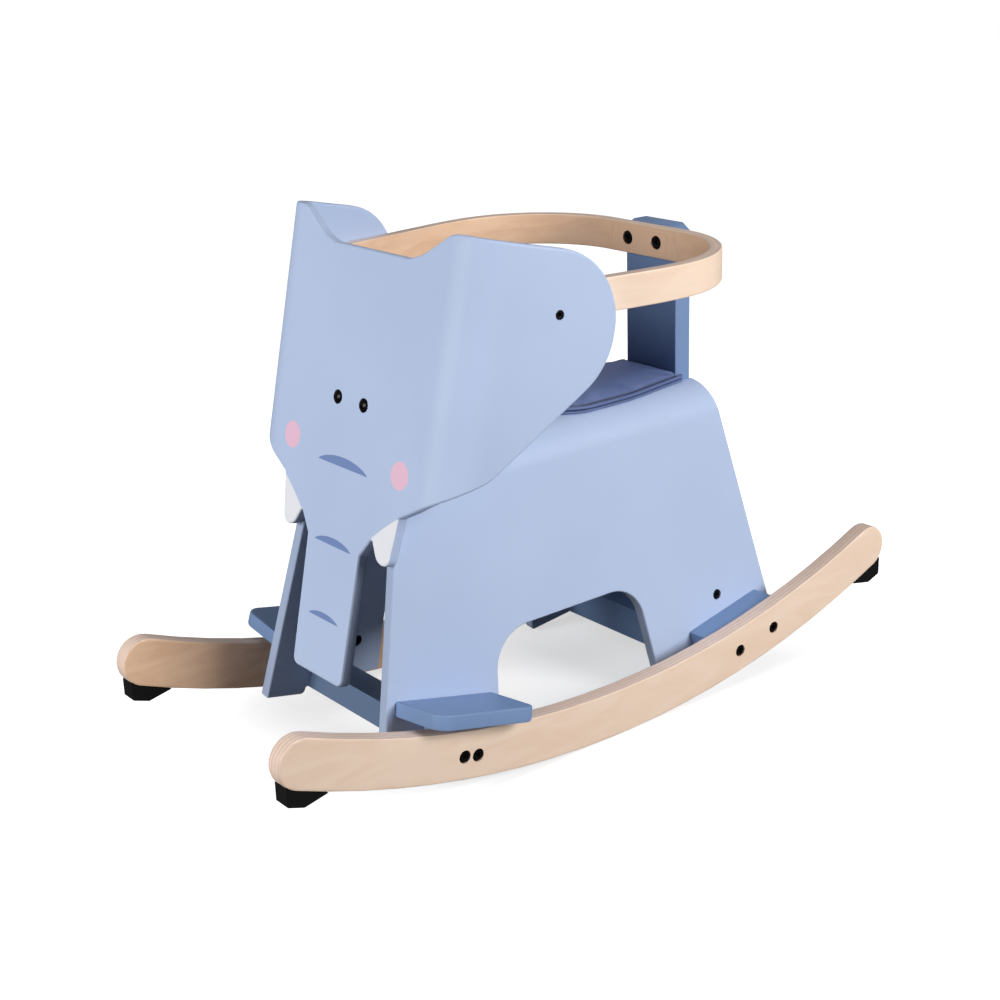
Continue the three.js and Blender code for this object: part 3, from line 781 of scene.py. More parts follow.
@dataclass(frozen=True)
class Leatherette:
    """Soft blue leatherette with a fine pebbled grain."""

    colour: Colour = display(88, 105, 151)
    worn: Colour = display(101, 118, 164)
    # Painted shade for the groove of the seam between the panel and the piping.
    seam_shade: Colour = display(28, 36, 64)
    thread: Colour = display(70, 84, 120)
    pebbles: float = 720

    def hide(self) -> bpy.types.Material:
        """Makes the cushion's cover, with painted shade down in its seam and in the valleys of its
        grain.

        Returns:
            The material.
        """
        shading = Shading("leatherette", {"IOR": 1.45})
        place = shading.place()
        settings = {"feature": "DISTANCE_TO_EDGE"}
        values = {"Vector": place, "Scale": self.pebbles}
        cells = Number(shading, shading.add("ShaderNodeTexVoronoi", settings, values))
        pebble = cells.rises(0.0, 0.16)
        cloud = shading.noise(place, 24, 3)
        tone = shading.mix(cloud.rises(0.35, 0.75), self.colour, self.worn)
        # Painted shade in the valleys between the pebbles of the grain.
        pebbled = shading.mix((1 - pebble) * 0.35, tone, toned(self.colour, 0.8))
        # Painted shade: the cover darkens down towards its seam, whose groove lies in shade.
        seam_shaded = shading.mix(shading.share("seam") * 0.95, pebbled, self.seam_shade)
        shading.feed("Base Color", seam_shaded)
        shading.feed("Roughness", cloud * 0.14 + (1 - pebble) * 0.1 + 0.4)
        shading.bump(pebble * 0.8 + shading.noise(place, 160, 2) * 0.2, 0.12, 0.5)
        return shading.material

    def stitching(self) -> bpy.types.Material:
        """Makes the sewing thread.

        Returns:
            The material.
        """
        shading = Shading("thread", {"Roughness": 0.7})
        place = shading.place()
        twist = shading.noise(shading.stretched(place, (1500, 1500, 400)), 1, 2)
        shading.feed("Base Color", shading.mix(twist, self.thread, toned(self.thread, 1.5)))
        shading.bump(twist, 0.1, 0.6)
        return shading.material


@dataclass(frozen=True)
class Blacks:
    """The black parts: moulded rubber, oxide-blacked steel and glossy caps."""

    moulded: Colour = display(12, 12, 14)
    scuffed: Colour = display(34, 34, 37)
    oxide: Colour = display(6, 6, 7)
    turned: Colour = display(20, 18, 18)
    lacquer: Colour = display(4, 4, 5)
    haze: Colour = display(8, 8, 10)

    def rubber(self) -> bpy.types.Material:
        """Makes the stops' rubber, a little greyer where it is scuffed.

        Returns:
            The material.
        """
        shading = Shading("rubber", {"Specular IOR Level": 0.15})
        place = shading.place()
        fine = shading.noise(place, 900, 3)
        scuff = shading.noise(shading.stretched(place, (60, 200, 60)), 1, 4).rises(0.6, 0.78)
        shading.feed("Base Color", shading.mix(scuff * 0.5, self.moulded, self.scuffed))
        shading.feed("Roughness", fine * 0.2 + scuff * 0.1 + 0.58)
        shading.bump(fine, 0.08, 0.6)
        return shading.material

    def steel(self) -> bpy.types.Material:
        """Makes the bolts' steel, with a faint turned sheen.

        Returns:
            The material.
        """
        shading = Shading("black_steel", {"Metallic": 0.05, "Specular IOR Level": 0.1})
        fine = shading.noise(shading.place(), 700, 3)
        shading.feed("Base Color", shading.mix(fine.rises(0.5, 0.8), self.oxide, self.turned))
        shading.feed("Roughness", fine * 0.2 + 0.3)
        shading.bump(fine, 0.02, 0.5)
        return shading.material

    def cap(self) -> bpy.types.Material:
        """Makes the eyes' gloss.

        Returns:
            The material.
        """
        shading = Shading("black_gloss", {"Specular IOR Level": 0.14, "IOR": 1.45})
        fine = shading.noise(shading.place(), 500, 2)
        shading.feed("Base Color", shading.mix(fine, self.lacquer, self.haze))
        shading.feed("Roughness", fine * 0.06 + 0.1)
        return shading.material


# Outlines and rings


def round_angles(count: int) -> list[float]:
    """Spreads angles evenly round a circle."""
    return [math.tau * step / count for step in range(count)]


def circle(centre: Flat, radius: float, sides: int) -> list[Flat]:
    """Lays a point for each side round a circle."""
    x, y = centre
    return [(x + radius * math.cos(a), y + radius * math.sin(a)) for a in round_angles(sides)]


def arc(
    centre: Flat, radius: float, start: float, end: float, chord: float = 0.04
) -> list[Vector]:
    """Lays points on an arc, both ends included.

    Args:
        centre: The arc's centre.
        radius: Its radius.
        start: Its first angle.
        end: Its last angle.
        chord: How far a chord may leave the arc.

    Returns:
        The points.
    """
    widest = 2 * math.acos(1 - min(chord / radius, 1))
    steps = max(3, math.ceil(abs(end - start) / widest))
    angles = [start + (end - start) * step / steps for step in range(steps + 1)]
    x, y = centre
    return [Vector((x + radius * math.cos(a), y + radius * math.sin(a))) for a in angles]


def rounded(corners: Sequence[Corner]) -> list[Vector]:
    """Rounds the corners of a closed outline.

    Args:
        corners: Each corner's x, y and radius.

    Returns:
        The points.
    """
    places = [Vector(corner[:2]) for corner in corners]
    points = []
    for index, (here, corner) in enumerate(zip(places, corners)):
        if not corner[2]:
            points.append(here)
            continue
        back = (places[index - 1] - here).normalized()
        ahead = (places[(index + 1) % len(places)] - here).normalized()
        half = back.angle(ahead) / 2
        centre = here + (back + ahead).normalized() * (corner[2] / math.sin(half))
        start = here + back * (corner[2] / math.tan(half)) - centre
        turn = -(math.pi - 2 * half) * math.copysign(1, back.cross(ahead))
        first = math.atan2(start.y, start.x)
        points += arc(centre, corner[2], first, first + turn)
    return points


def inset(points: Sequence[Vector], distance: float) -> list[Vector]:
    """Moves each point of a closed outline inward.

    Args:
        points: The outline, against the clock.
        distance: How far its edges move.

    Returns:
        The moved points.
    """
    moved = []
    for index, here in enumerate(points):
        before = (here - points[index - 1]).normalized()
        after = (points[(index + 1) % len(points)] - here).normalized()
        inward = Vector((-before.y - after.y, before.x + after.x)).normalized()
        slope = inward.dot(Vector((-before.y, before.x)))
        moved.append(here + inward * (distance / slope))
    return moved


def mirrored(half: Sequence[Vector]) -> list[Vector]:
    """Closes a half outline, whose ends lie on x = 0, with its other hand."""
    return [*half, *(Vector((-point.x, point.y)) for point in reversed(half[1:-1]))]


def resampled(outline: Sequence[Vector], count: int) -> list[Vector]:
    """Spreads points evenly round a closed outline.

    Args:
        outline: The outline's own points.
        count: How many points are wanted.

    Returns:
        The new points.
    """
    ends = [*outline[1:], outline[0]]
    lengths = [(b - a).length for a, b in zip(outline, ends)]
    total = sum(lengths)
    points = []
    index, passed = 0, 0.0
    for step in range(count):
        wanted = total * step / count
        while passed + lengths[index] < wanted:
            passed += lengths[index]
            index += 1
        points.append(outline[index].lerp(ends[index], (wanted - passed) / lengths[index]))
    return points


def evened(points: Sequence[Vector], rounds: int) -> list[Vector]:
    """Evens out a closed row of points.

    Args:
        points: The row.
        rounds: How often each point moves towards its neighbours.

    Returns:
        The evened row.
    """
    for _ in range(rounds):
        points = [
            (points[index - 1] + point * 2 + points[(index + 1) % len(points)]) / 4
            for index, point in enumerate(points)
        ]
    return points


def join(made: bmesh.types.BMesh, rings: Sequence[list[bmesh.types.BMVert]]) -> None:
    """Makes faces between neighbouring rings of as many vertices each.

    Args:
        made: The mesh.
        rings: The rings, in order.
    """
    for low, high in zip(rings, rings[1:]):
        for index, vertex in enumerate(low):
            after = (index + 1) % len(low)
            made.faces.new((vertex, low[after], high[after], high[index]))


def rings_to_mesh(
    rings: Sequence[Sequence[Vector]], endless: bool = False
) -> bmesh.types.BMesh:
    """Joins rings of as many points each into a tube.

    Args:
        rings: The rings, in order.
        endless: Whether the last ring meets the first; otherwise both ends are filled.

    Returns:
        The mesh.
    """
    made = bmesh.new()
    loops = [[made.verts.new(point) for point in ring] for ring in rings]
    if endless:
        join(made, [*loops, loops[0]])
    else:
        join(made, loops)
        made.faces.new(loops[0][::-1])
        made.faces.new(loops[-1])
    return made


def tube_round(points: Sequence[Vector], radius: float, sides: int) -> bmesh.types.BMesh:
    """Makes a closed tube along a closed row of points.

    Args:
        points: The row.
        radius: The tube's radius.
        sides: How many sides it has.

    Returns:
        The mesh.
    """
    rings = []
    for index, point in enumerate(points):
        along = (points[(index + 1) % len(points)] - points[index - 1]).normalized()
        out = along.cross(UP).normalized()
        up = out.cross(along)
        ring = [(out * math.cos(a) + up * math.sin(a)) * radius for a in round_angles(sides)]
        rings.append([point + away for away in ring])
    return rings_to_mesh(rings, endless=True)


# Where the CAD has its bolts


@dataclass(frozen=True)
class BoltPlace:
    """Where a CAD bolt sits: the middle of its outer end, its direction, length and head radius."""

    top: Vector
    outward: Vector
    length: float
    head: float

    @classmethod
    def of(cls, node: str) -> "BoltPlace":
        """Reads a bolt's place, taking its widest end for its head.

        Args:
            node: The bolt's CAD node.

        Returns:
            The place.
        """
        points = numpy.array([vertex.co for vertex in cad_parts[node].data.vertices])
        middle = points.mean(axis=0)
        spread = numpy.linalg.eigh(numpy.cov((points - middle).T))
        axis = spread[1][:, -1]
        along = (points - middle) @ axis
        radius = numpy.linalg.norm(points - middle - numpy.outer(along, axis), axis=1)
        if along[radius.argmax()] < 0:
            axis, along = -axis, -along
        outward = Vector(axis)
        length = float(along.max() - along.min())
        top = Vector(middle) + outward * float(along.max())
        return cls(top, outward, length, float(radius.max()))

    def turned(self) -> Matrix:
        """Gives the turn that makes a bolt look outward instead of along Z."""
        return self.outward.to_track_quat("Z", "Y").to_matrix().to_4x4()


def bore(
    piece: bpy.types.Object,
    bolts: Sequence[str],
    clearance: float = 0.3,
    deep: float = 3.5,
    tall: float = 12,
    sides: int = 32,
) -> None:
    """Cuts a pocket for each bolt's head into a piece, as the CAD has it.

    Args:
        piece: The piece, which gets a new mesh.
        bolts: The CAD nodes of the bolts.
        clearance: Room round each head.
        deep: How deep a pocket is.
        tall: The height of the round tool that cuts it.
        sides: How many sides that tool has.
    """
    made = bmesh.new()
    for name in bolts:
        place = BoltPlace.of(name)
        middle = place.top + place.outward * ((tall / 2 - deep) * MM)
        radius = place.head + clearance * MM
        bmesh.ops.create_cone(
            made,
            cap_ends=True,
            segments=sides,
            radius1=radius,
            radius2=radius,
            depth=tall * MM,
            matrix=Matrix.Translation(middle) @ place.turned(),
        )
    tool = placed("bores", as_mesh("bores", made))
    modifier = piece.modifiers.new("bores", "BOOLEAN")
    modifier.operation = "DIFFERENCE"
    modifier.solver = "EXACT"
    modifier.object = tool
    bake_down(piece)
    bpy.data.objects.remove(tool)


# Bent sheets


@dataclass(frozen=True)
class Bend:
    """A bend on both sides of a sheet's middle, as its outer surface has it."""

    start: float
    radius: float
    turn: float
    steps: int

    @property
    def end(self) -> float:
        """Gives how far from the middle the bend ends."""
        return self.start + self.radius * self.turn

    def stations(self) -> list[float]:
        """Lists the lines across the flat sheet at which it turns."""
        return [self.start + (self.end - self.start) * s / self.steps for s in range(self.steps + 1)]

    def carried(self, across: float, inward: float) -> Flat:
        """Bends a place of the flat sheet.

        Args:
            across: How far from the middle it lies, on either side.
            inward: How far it lies under the outer surface.

        Returns:
            How far across it comes to lie, and how far below the middle of the sheet.
        """
        reach = abs(across)
        turn = min(max((reach - self.start) / self.radius, 0), self.turn)
        beyond = max(reach - self.end, 0)
        radius = self.radius - inward
        out = min(reach, self.start) + radius * math.sin(turn) + beyond * math.cos(turn)
        drop = self.radius - radius * math.cos(turn) + beyond * math.sin(turn)
        return math.copysign(out, across), drop


@dataclass
class BentSheet:
    """A plywood sheet that is cut flat, eased along its edges and then bent and stood up."""

    outline: list[Vector]
    bend: Bend
    stand: Callable[[float, float, float], Vector]
    holes: list[Corner] = field(default_factory=list)
    thickness: float = 12
    edge: float = 2.5
    edge_steps: int = 4
    hole_sides: int = 32

    def levels(self) -> list[Flat]:
        """Lists how far inward and how deep each ring of the eased edge lies.

        Returns:
            The pairs, from the outer surface to the inner one.
        """
        turns = [math.pi / 2 * step / self.edge_steps for step in range(self.edge_steps, -1, -1)]
        near = [(self.edge * (1 - math.cos(a)), self.edge * (1 - math.sin(a))) for a in turns]
        return near + [(inward, self.thickness - depth) for inward, depth in reversed(near)]

    def walls(self, made: bmesh.types.BMesh) -> list[list[list[bmesh.types.BMVert]]]:
        """Makes the rings of the holes.

        Args:
            made: The mesh.

        Returns:
            The rings on the outer surface, and those on the inner one.
        """
        rings = [[], []]
        for across, up, radius in self.holes:
            for side, depth in zip(rings, (0, self.thickness)):
                round_hole = circle((across, up), radius, self.hole_sides)
                side.append([made.verts.new((*point, depth)) for point in round_hole])
        return rings

    def build(self) -> bmesh.types.BMesh:
        """Makes the sheet flat, cuts it at its stations and bends it.

        Returns:
            The mesh, whose cut edges carry a mark.
        """
        made = bmesh.new()
        rims = []
        for inward, depth in self.levels():
            ring = inset(self.outline, inward)
            rims.append([made.verts.new((point.x, point.y, depth)) for point in ring])
        walls = self.walls(made)
        cut = made.faces.layers.float.new("cut")
        join(made, rims[1:-1])
        for face in made.faces:
            face[cut] = 1.0
        join(made, rims[:2])
        join(made, rims[-2:])
        for near, far in zip(*walls):
            join(made, [near, far])
        self.fill(made, [rims[0], *walls[0]])
        self.fill(made, [rims[-1], *walls[1]])
        stations = self.bend.stations()
        for station in [*stations, *(-station for station in stations)]:
            everything = [*made.verts, *made.edges, *made.faces]
            line = {"plane_co": (station, 0, 0), "plane_no": (1, 0, 0)}
            bmesh.ops.bisect_plane(made, geom=everything, dist=1e-4, **line)
        for vertex in made.verts:
            across, drop = self.bend.carried(vertex.co.x, vertex.co.z)
            vertex.co = self.stand(across, drop, vertex.co.y)
        return made

    @staticmethod
    def fill(made: bmesh.types.BMesh, loops: Sequence[list[bmesh.types.BMVert]]) -> None:
        """Fills the first loop with triangles, leaving the others open.

        Args:
            made: The mesh.
            loops: An outer loop, and the loops of the holes in it.
        """
        vertices = [vertex for loop in loops for vertex in loop]
        flat = [[Vector((vertex.co.x, vertex.co.y, 0)) for vertex in loop] for loop in loops]
        for triangle in tessellate_polygon(flat):
            made.faces.new([vertices[index] for index in triangle])

    def finish(self, name: str, paint: bpy.types.Material, node: str) -> None:
        """Builds the sheet and gives it to the frame.

        Args:
            name: The piece's name.
            paint: Its material.
            node: The CAD node that it stands for.
        """
        piece = as_piece(name, self.build(), paint)
        even_shading(piece)
        settle(piece, "pale_blue_paint", node)


@dataclass
class Saddle:
    """The bent seat shell whose sides splay out into four legs."""

    stance: Stance = Stance()
    seat_top: float = 309
    half: float = 70.4
    bend_radius: float = 38
    bend_steps: int = 22
    front_depth: float = 12.3
    rear_depth: float = 10.5
    leg_rise: float = 42
    toe: float = 59
    toe_step: float = 8
    toe_run: float = 40
    rear_leg: float = 132
    arch_rise: float = 126.3
    arch_top: Flat = (-115.5, 68.6)
    arch_foot: Flat = (-125, 91.4)
    arch_round: float = 42
    heel: float = 5.1
    notch_half: float = 37.8
    notch_run: float = 4
    neck_notch: float = -183.6
    post_notch: float = 181.86
    corner: float = 2.2
    toe_round: float = 5
    step_round: float = 2
    heel_round: float = 5
    clearance: float = 0.3
    eased: float = 1.8
    eased_steps: int = 3
    bolts: tuple[str, ...] = ("rail_bolt_left", "footrest_bolt_1_left", "footrest_bolt_2_left")

    def __post_init__(self) -> None:
        """Works out where the top ends and the sides begin, across the outer surface."""
        turn = math.pi / 2 - self.stance.splay
        start = self.half - self.bend_radius * math.tan(turn / 2)
        self.bend = Bend(start, self.bend_radius, turn, self.bend_steps)
        self.side_top = self.seat_top - self.bend_radius * (1 - math.cos(turn))

    def reach(self, height: float) -> float:
        """Gives how far across the outer surface a height on the side lies."""
        return self.bend.end + (self.side_top - height) / math.cos(self.stance.splay)

    def surface(self, across: float) -> float:
        """Gives the outer surface's height at a distance from the middle, over the seat."""
        over = min(max(abs(across) - self.bend.start, 0), self.bend_radius)
        return self.seat_top - self.bend_radius + math.sqrt(self.bend_radius**2 - over**2)

    def edge(self, end: int, reach: float) -> Flat:
        """Gives a point of a leaned end edge of the flat sheet.

        Args:
            end: 1 for the rear edge and -1 for the front one.
            reach: The point's distance across the outer surface.

        Returns:
            The point.
        """
        sine, cosine = math.sin(self.stance.lean), math.cos(self.stance.lean)
        depth = self.rear_depth if end > 0 else self.front_depth
        height = self.seat_top - self.bend.carried(reach, 0)[1]
        return reach, end * (self.stance.foot - (depth + height * sine) / cosine)

    def outline(self) -> list[Vector]:
        """Lays out the flat sheet, against the clock from the neck notch round the left side.

        Returns:
            The points.
        """
        front, rear = -1, 1
        leaned = self.stance.leaned
        step = self.leg_rise + self.toe_step
        legs = [
            (*leaned(front, self.front_depth, self.leg_rise), self.corner),
            (*leaned(front, self.toe, self.leg_rise), self.toe_round),
            (*leaned(front, self.toe, step), self.step_round),
            (self.arch_foot[0], leaned(front, self.toe + self.toe_run, step)[1], 0),
            (self.arch_top[0], self.arch_rise, self.arch_round),
            (self.arch_top[1], self.arch_rise, self.arch_round),
            (self.arch_foot[1], self.heel, self.heel_round),
            (*leaned(rear, self.rear_leg, self.leg_rise), 0),
            (*leaned(rear, self.rear_depth, self.leg_rise), self.corner),
        ]
        side = [(self.reach(height), along, radius) for along, height, radius in legs]
        beside = [s for s in self.bend.stations() if s > self.notch_half + self.notch_run]
        start = [
            (0, self.neck_notch, 0),
            (self.notch_half, self.neck_notch, 0),
            (*self.edge(front, self.notch_half), self.corner),
        ]
        over_front = [(*self.edge(front, reach), 0) for reach in beside]
        over_rear = [(*self.edge(rear, reach), 0) for reach in reversed(beside)]
        end = [
            (*self.edge(rear, self.notch_half), self.corner),
            (self.notch_half, self.post_notch, 0),
            (0, self.post_notch, 0),
        ]
        return mirrored(rounded([*start, *over_front, *side, *over_rear, *end]))

    def pierced(self, place: BoltPlace) -> Flat:
        """Gives where a bolt through the left side meets its outer surface, laid out flat.

        Args:
            place: Where the bolt is.

        Returns:
            The place on the flat sheet.
        """
        normal = Vector((math.cos(self.stance.splay), 0, math.sin(self.stance.splay)))
        top = place.top / MM
        spot = top + normal * (Vector((self.half, 0, self.seat_top)) - top).dot(normal)
        return self.reach(spot.z), spot.y

    def stand(self, across: float, drop: float, along: float) -> Vector:
        """Puts a place of the bent sheet where the toy has it."""
        return Vector((across, along, self.seat_top - drop))

    def build(self, paint: bpy.types.Material) -> None:
        """Makes the shell and gives it to the frame.

        Args:
            paint: Its material.
        """
        holes = []
        for name in self.bolts:
            place = BoltPlace.of(name)
            across, along = self.pierced(place)
            radius = place.head / MM + self.clearance
            holes += [(side * across, along, radius) for side in (1, -1)]
        ease = {"edge": self.eased, "edge_steps": self.eased_steps}
        sheet = BentSheet(self.outline(), self.bend, self.stand, holes, **ease)
        sheet.finish("saddle_bent", paint, "saddle_shell")


@dataclass
class Head:
    """The bent sheet that is face, trunk, tusks and ears at once."""

    stance: Stance = Stance()
    face_half: float = 116
    bend_radius: float = 47
    bend_steps: int = 26
    ear_bolt: Flat = (234.1, 481.1)
    hole: float = 4.6
    corners: tuple[Corner, ...] = (
        (0, 98.4, 0),
        (42.3, 98.4, 9),
        (44, 230, 2),
        (59, 250.5, 2),
        (71, 230, 14),
        (88, 230, 9),
        (95.3, 278.7, 2),
        (189, 328.8, 60),
        (297, 436.8, 75),
        (297, 539.2, 68),
        (117.5, 539.2, 28),
        (78, 514.9, 70),
        (59.5, 509.7, 2),
        (0, 509.7, 0),
    )

    def stand(self, across: float, depth: float, rise: float) -> Vector:
        """Leans a place of the bent sheet back, as the toy has it."""
        return Vector((across, *self.stance.leaned(-1, depth, rise)))

    def build(self, paint: bpy.types.Material) -> None:
        """Makes the head and gives it to the frame.

        Args:
            paint: Its material.
        """
        turn = math.pi / 2 - self.stance.splay
        bend = Bend(self.face_half, self.bend_radius, turn, self.bend_steps)
        holes = [(side * self.ear_bolt[0], self.ear_bolt[1], self.hole) for side in (1, -1)]
        sheet = BentSheet(mirrored(rounded(self.corners)), bend, self.stand, holes)
        sheet.finish("head_bent", paint, "head_sheet")


# The guard hoop


@dataclass
class GuardHoop:
    """The laminated strip that runs from ear to ear behind the child's back."""

    stance: Stance = Stance()
    thickness: float = 12.5
    foot: float = 440
    tall: float = 32.5
    corner: float = 122
    side: float = 320
    front: float = -125
    near_front: float = 3
    eased: float = 1.6
    eased_points: int = 3

    def path(self) -> list[Vector]:
        """Lays the middle of the strip from the left ear to the right ear.

        Returns:
            The points, seen from above.
        """
        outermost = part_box("guard_hoop")[1]
        half, back = outermost.x / MM, outermost.y / MM
        inward = self.thickness / 2
        centre = back - self.corner
        turn = math.atan(math.cos(self.stance.lean) * math.tan(self.stance.splay))
        out = Vector((math.cos(turn), -math.sin(turn)))
        points = [Vector((self.tip(), self.front)) - out * inward]
        points += arc((half - self.side, centre), self.side - inward, -turn, 0)
        points += arc((half - self.corner, centre), self.corner - inward, 0, math.pi / 2)[1:]
        return [*points, *(Vector((-point.x, point.y)) for point in reversed(points))]

    def tip(self) -> float:
        """Finds how far out the strip's front end reaches, from the CAD's own corner.

        Returns:
            The distance from the middle of the toy.
        """
        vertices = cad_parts["guard_hoop"].data.vertices
        behind = (self.front + self.near_front) * MM
        return max(vertex.co.x for vertex in vertices if vertex.co.y < behind) / MM

    def tree(self) -> Growth:
        """Makes the tree that sweeps the strip and writes its coordinates on it.

        Returns:
            The tree.
        """
        growth = Growth("laminated_strip", Thickness="Float", Tall="Float", Eased="Float")
        path = growth.add("GeometryNodeMeshToCurve", values={"Mesh": growth.given()})
        path = growth.add("GeometryNodeSetCurveNormal", {"mode": "Z_UP"}, {"Curve": path})
        run = growth.add("GeometryNodeSplineParameter", output="Length")
        path = growth.store(path, "run", run)
        kind = "GeometryNodeCurvePrimitiveQuadrilateral"
        values = {"Width": growth.given("Thickness"), "Height": growth.given("Tall")}
        section = growth.add(kind, {"mode": "RECTANGLE"}, values)
        values = {"Curve": section, "Radius": growth.given("Eased"), "Count": self.eased_points}
        section = growth.add("GeometryNodeFilletCurve", {"mode": "POLY"}, values)
        spot = growth.add("GeometryNodeInputPosition")
        section = growth.store(section, "section", spot, "FLOAT_VECTOR")
        values = {"Curve": path, "Profile Curve": section, "Fill Caps": True}
        swept = growth.add("GeometryNodeCurveToMesh", values=values)
        noted = growth.read("section", "FLOAT_VECTOR")
        across, rise, _ = growth.add("ShaderNodeSeparateXYZ", values={0: noted}).node.outputs
        through = Number(growth, across) / growth.number("Thickness") + 0.5
        values = {0: growth.read("run"), 1: through, 2: rise}
        strip = growth.add("ShaderNodeCombineXYZ", values=values)
        growth.end(growth.store(swept, "strip", strip, "FLOAT_VECTOR"))
        return growth

    def build(self, finish: bpy.types.Material) -> None:
        """Makes the hoop, bores it for its bolts and gives it to the frame.

        Args:
            finish: Its material.
        """
        middle = (self.foot + self.tall / 2) * MM
        points = [(point.x * MM, point.y * MM, middle) for point in self.path()]
        base = wire("hoop_path", points, [(at, at + 1) for at in range(len(points) - 1)])
        sizes = {"Thickness": self.thickness, "Tall": self.tall, "Eased": self.eased}
        sizes = {label: size * MM for label, size in sizes.items()}
        piece = self.tree().grow("guard_hoop_strip", base, Finish=finish, **sizes)
        bore(piece, [f"hoop_bolt_{hand}" for hand in HANDS])
        smooth_by_angle(piece.data)
        even_shading(piece)
        settle(piece, "birch", "guard_hoop")


# Bolts


@dataclass
class Fasteners:
    """The black bolts with hexagon sockets, and the domed bolts that are the eyes."""

    head_tall: float = 3.2
    rim: tuple[Flat, ...] = ((0, 0.9), (0.25, 0.4), (0.7, 0.12), (1.2, 0))
    socket_share: float = 0.45
    socket_ease: Flat = (0.4, 0.25)
    socket_deep: float = 2.2
    shank: float = 3
    sharp: float = 30
    eye_dome: float = 2.8
    eye_under: float = 0.3
    eye_rings: int = 10
    eye_start: float = 0.99
    sides: int = 36
    families: tuple[tuple[str, str, int], ...] = (
        ("rocker_front_bolt", "front", 2),
        ("rocker_rear_bolt", "rear", 2),
        ("footrest_bolt", "footrest", 2),
        ("rail_bolt", "rail", 0),
        ("ear_bolt", "ear", 0),
        ("hoop_bolt", "hoop", 0),
    )

    def ring(self, radius: float, height: float) -> list[Vector]:
        """Makes a circle of the bolt's turned part."""
        return [Vector((*point, height)) for point in circle((0, 0), radius, self.sides)]

    def hexagon(self, corner: float, height: float) -> list[Vector]:
        """Makes a ring that follows the six walls of a socket.

        Args:
            corner: How far out the corners of the socket lie.
            height: The ring's height.

        Returns:
            The points.
        """
        points = []
        for turn in round_angles(self.sides):
            off = (turn % (math.pi / 3)) - math.pi / 6
            radius = corner * math.cos(math.pi / 6) / math.cos(off)
            points.append(Vector((radius * math.cos(turn), radius * math.sin(turn), height)))
        return points

    def socket_bolt(self, place: BoltPlace, finish: bpy.types.Material) -> bpy.types.Object:
        """Makes one bolt that looks along +Z, with the top of its head at the origin.

        Args:
            place: Where a bolt of its kind is.
            finish: Its material.

        Returns:
            The bolt.
        """
        head, length = place.head / MM, place.length / MM
        socket = head * self.socket_share
        wider, lower = self.socket_ease
        profile = [
            (self.shank, -length),
            (self.shank, -self.head_tall),
            (head, -self.head_tall),
            *((head - inward, -below) for inward, below in self.rim),
            (socket + wider, 0),
        ]
        rings = [self.ring(radius, height) for radius, height in profile]
        rings += [self.hexagon(socket, -lower), self.hexagon(socket, -self.socket_deep)]
        return as_piece("socket_bolt", rings_to_mesh(rings), finish, self.sharp)

    def tree(self) -> Growth:
        """Makes the tree that sets a bolt on each point, turned by chance about its own axis.

        Returns:
            The tree.
        """
        growth = Growth("bolt_family", Bolt="Object", Seed="Int")
        values = {0: growth.given("Bolt")}
        bolt = growth.add("GeometryNodeObjectInfo", values=values, output="Geometry")
        turned = growth.facing(growth.read("outward", "FLOAT_VECTOR"))
        values = {"Min": 0.0, "Max": math.pi / 3, "Seed": growth.given("Seed")}
        chance = growth.add("FunctionNodeRandomValue", {"data_type": "FLOAT"}, values, output=1)
        values = {"Axis": (0, 0, 1), "Angle": chance}
        spin = growth.add("FunctionNodeAxisAngleToRotation", values=values)
        values = {"Rotation": turned, "Rotate By": spin}
        both = growth.add("FunctionNodeRotateRotation", {"rotation_space": "LOCAL"}, values)
        growth.end_in_copies(Points=growth.given(), Instance=bolt, Rotation=both)
        return growth

    def build(self, steel: bpy.types.Material, gloss: bpy.types.Material) -> None:
        """Makes all the bolts and gives them to the frame.

        Args:
            steel: The material of the socket bolts.
            gloss: The material of the eyes.
        """
        growth = self.tree()
        for seed, (family, short, rows) in enumerate(self.families):
            stems = [f"{family}_{row + 1}" for row in range(rows)] or [family]
            nodes = [f"{stem}_{hand}" for stem in stems for hand in HANDS]
            places = [BoltPlace.of(node) for node in nodes]
            base = wire(f"{family}_places", [place.top for place in places])
            outward = base.attributes.new("outward", "FLOAT_VECTOR", "POINT")
            outward.data.foreach_set("vector", [s for place in places for s in place.outward])
            bolt = self.socket_bolt(places[0], steel)
            piece = growth.grow(f"{short}_bolts", base, Bolt=bolt, Seed=seed, Finish=steel)
            bpy.data.objects.remove(bolt)
            settle(piece, "black_steel", *nodes)
        for hand in HANDS:
            self.eye(hand, gloss)

    def eye(self, hand: str, gloss: bpy.types.Material) -> None:
        """Makes a domed eye.

        Args:
            hand: The side that it is on.
            gloss: Its material.
        """
        place = BoltPlace.of(f"eye_bolt_{hand}")
        head = place.head / MM
        ball = (head**2 + self.eye_dome**2) / (2 * self.eye_dome)
        half = math.asin(head / ball)
        rings = [
            self.ring(self.shank, -place.length / MM),
            self.ring(self.shank, -self.eye_dome),
            self.ring(head - self.eye_under, -self.eye_dome),
        ]
        for step in range(self.eye_rings):
            turn = half * (1 - step / self.eye_rings) * self.eye_start
            rings.append(self.ring(ball * math.sin(turn), ball * math.cos(turn) - ball))
        made = rings_to_mesh(rings)
        bmesh.ops.transform(made, matrix=place.turned(), verts=made.verts)
        bmesh.ops.translate(made, vec=place.top / MM, verts=made.verts)
        settle(as_piece(f"eye_{hand}", made, gloss), "black_gloss", f"eye_bolt_{hand}")


# The cushion


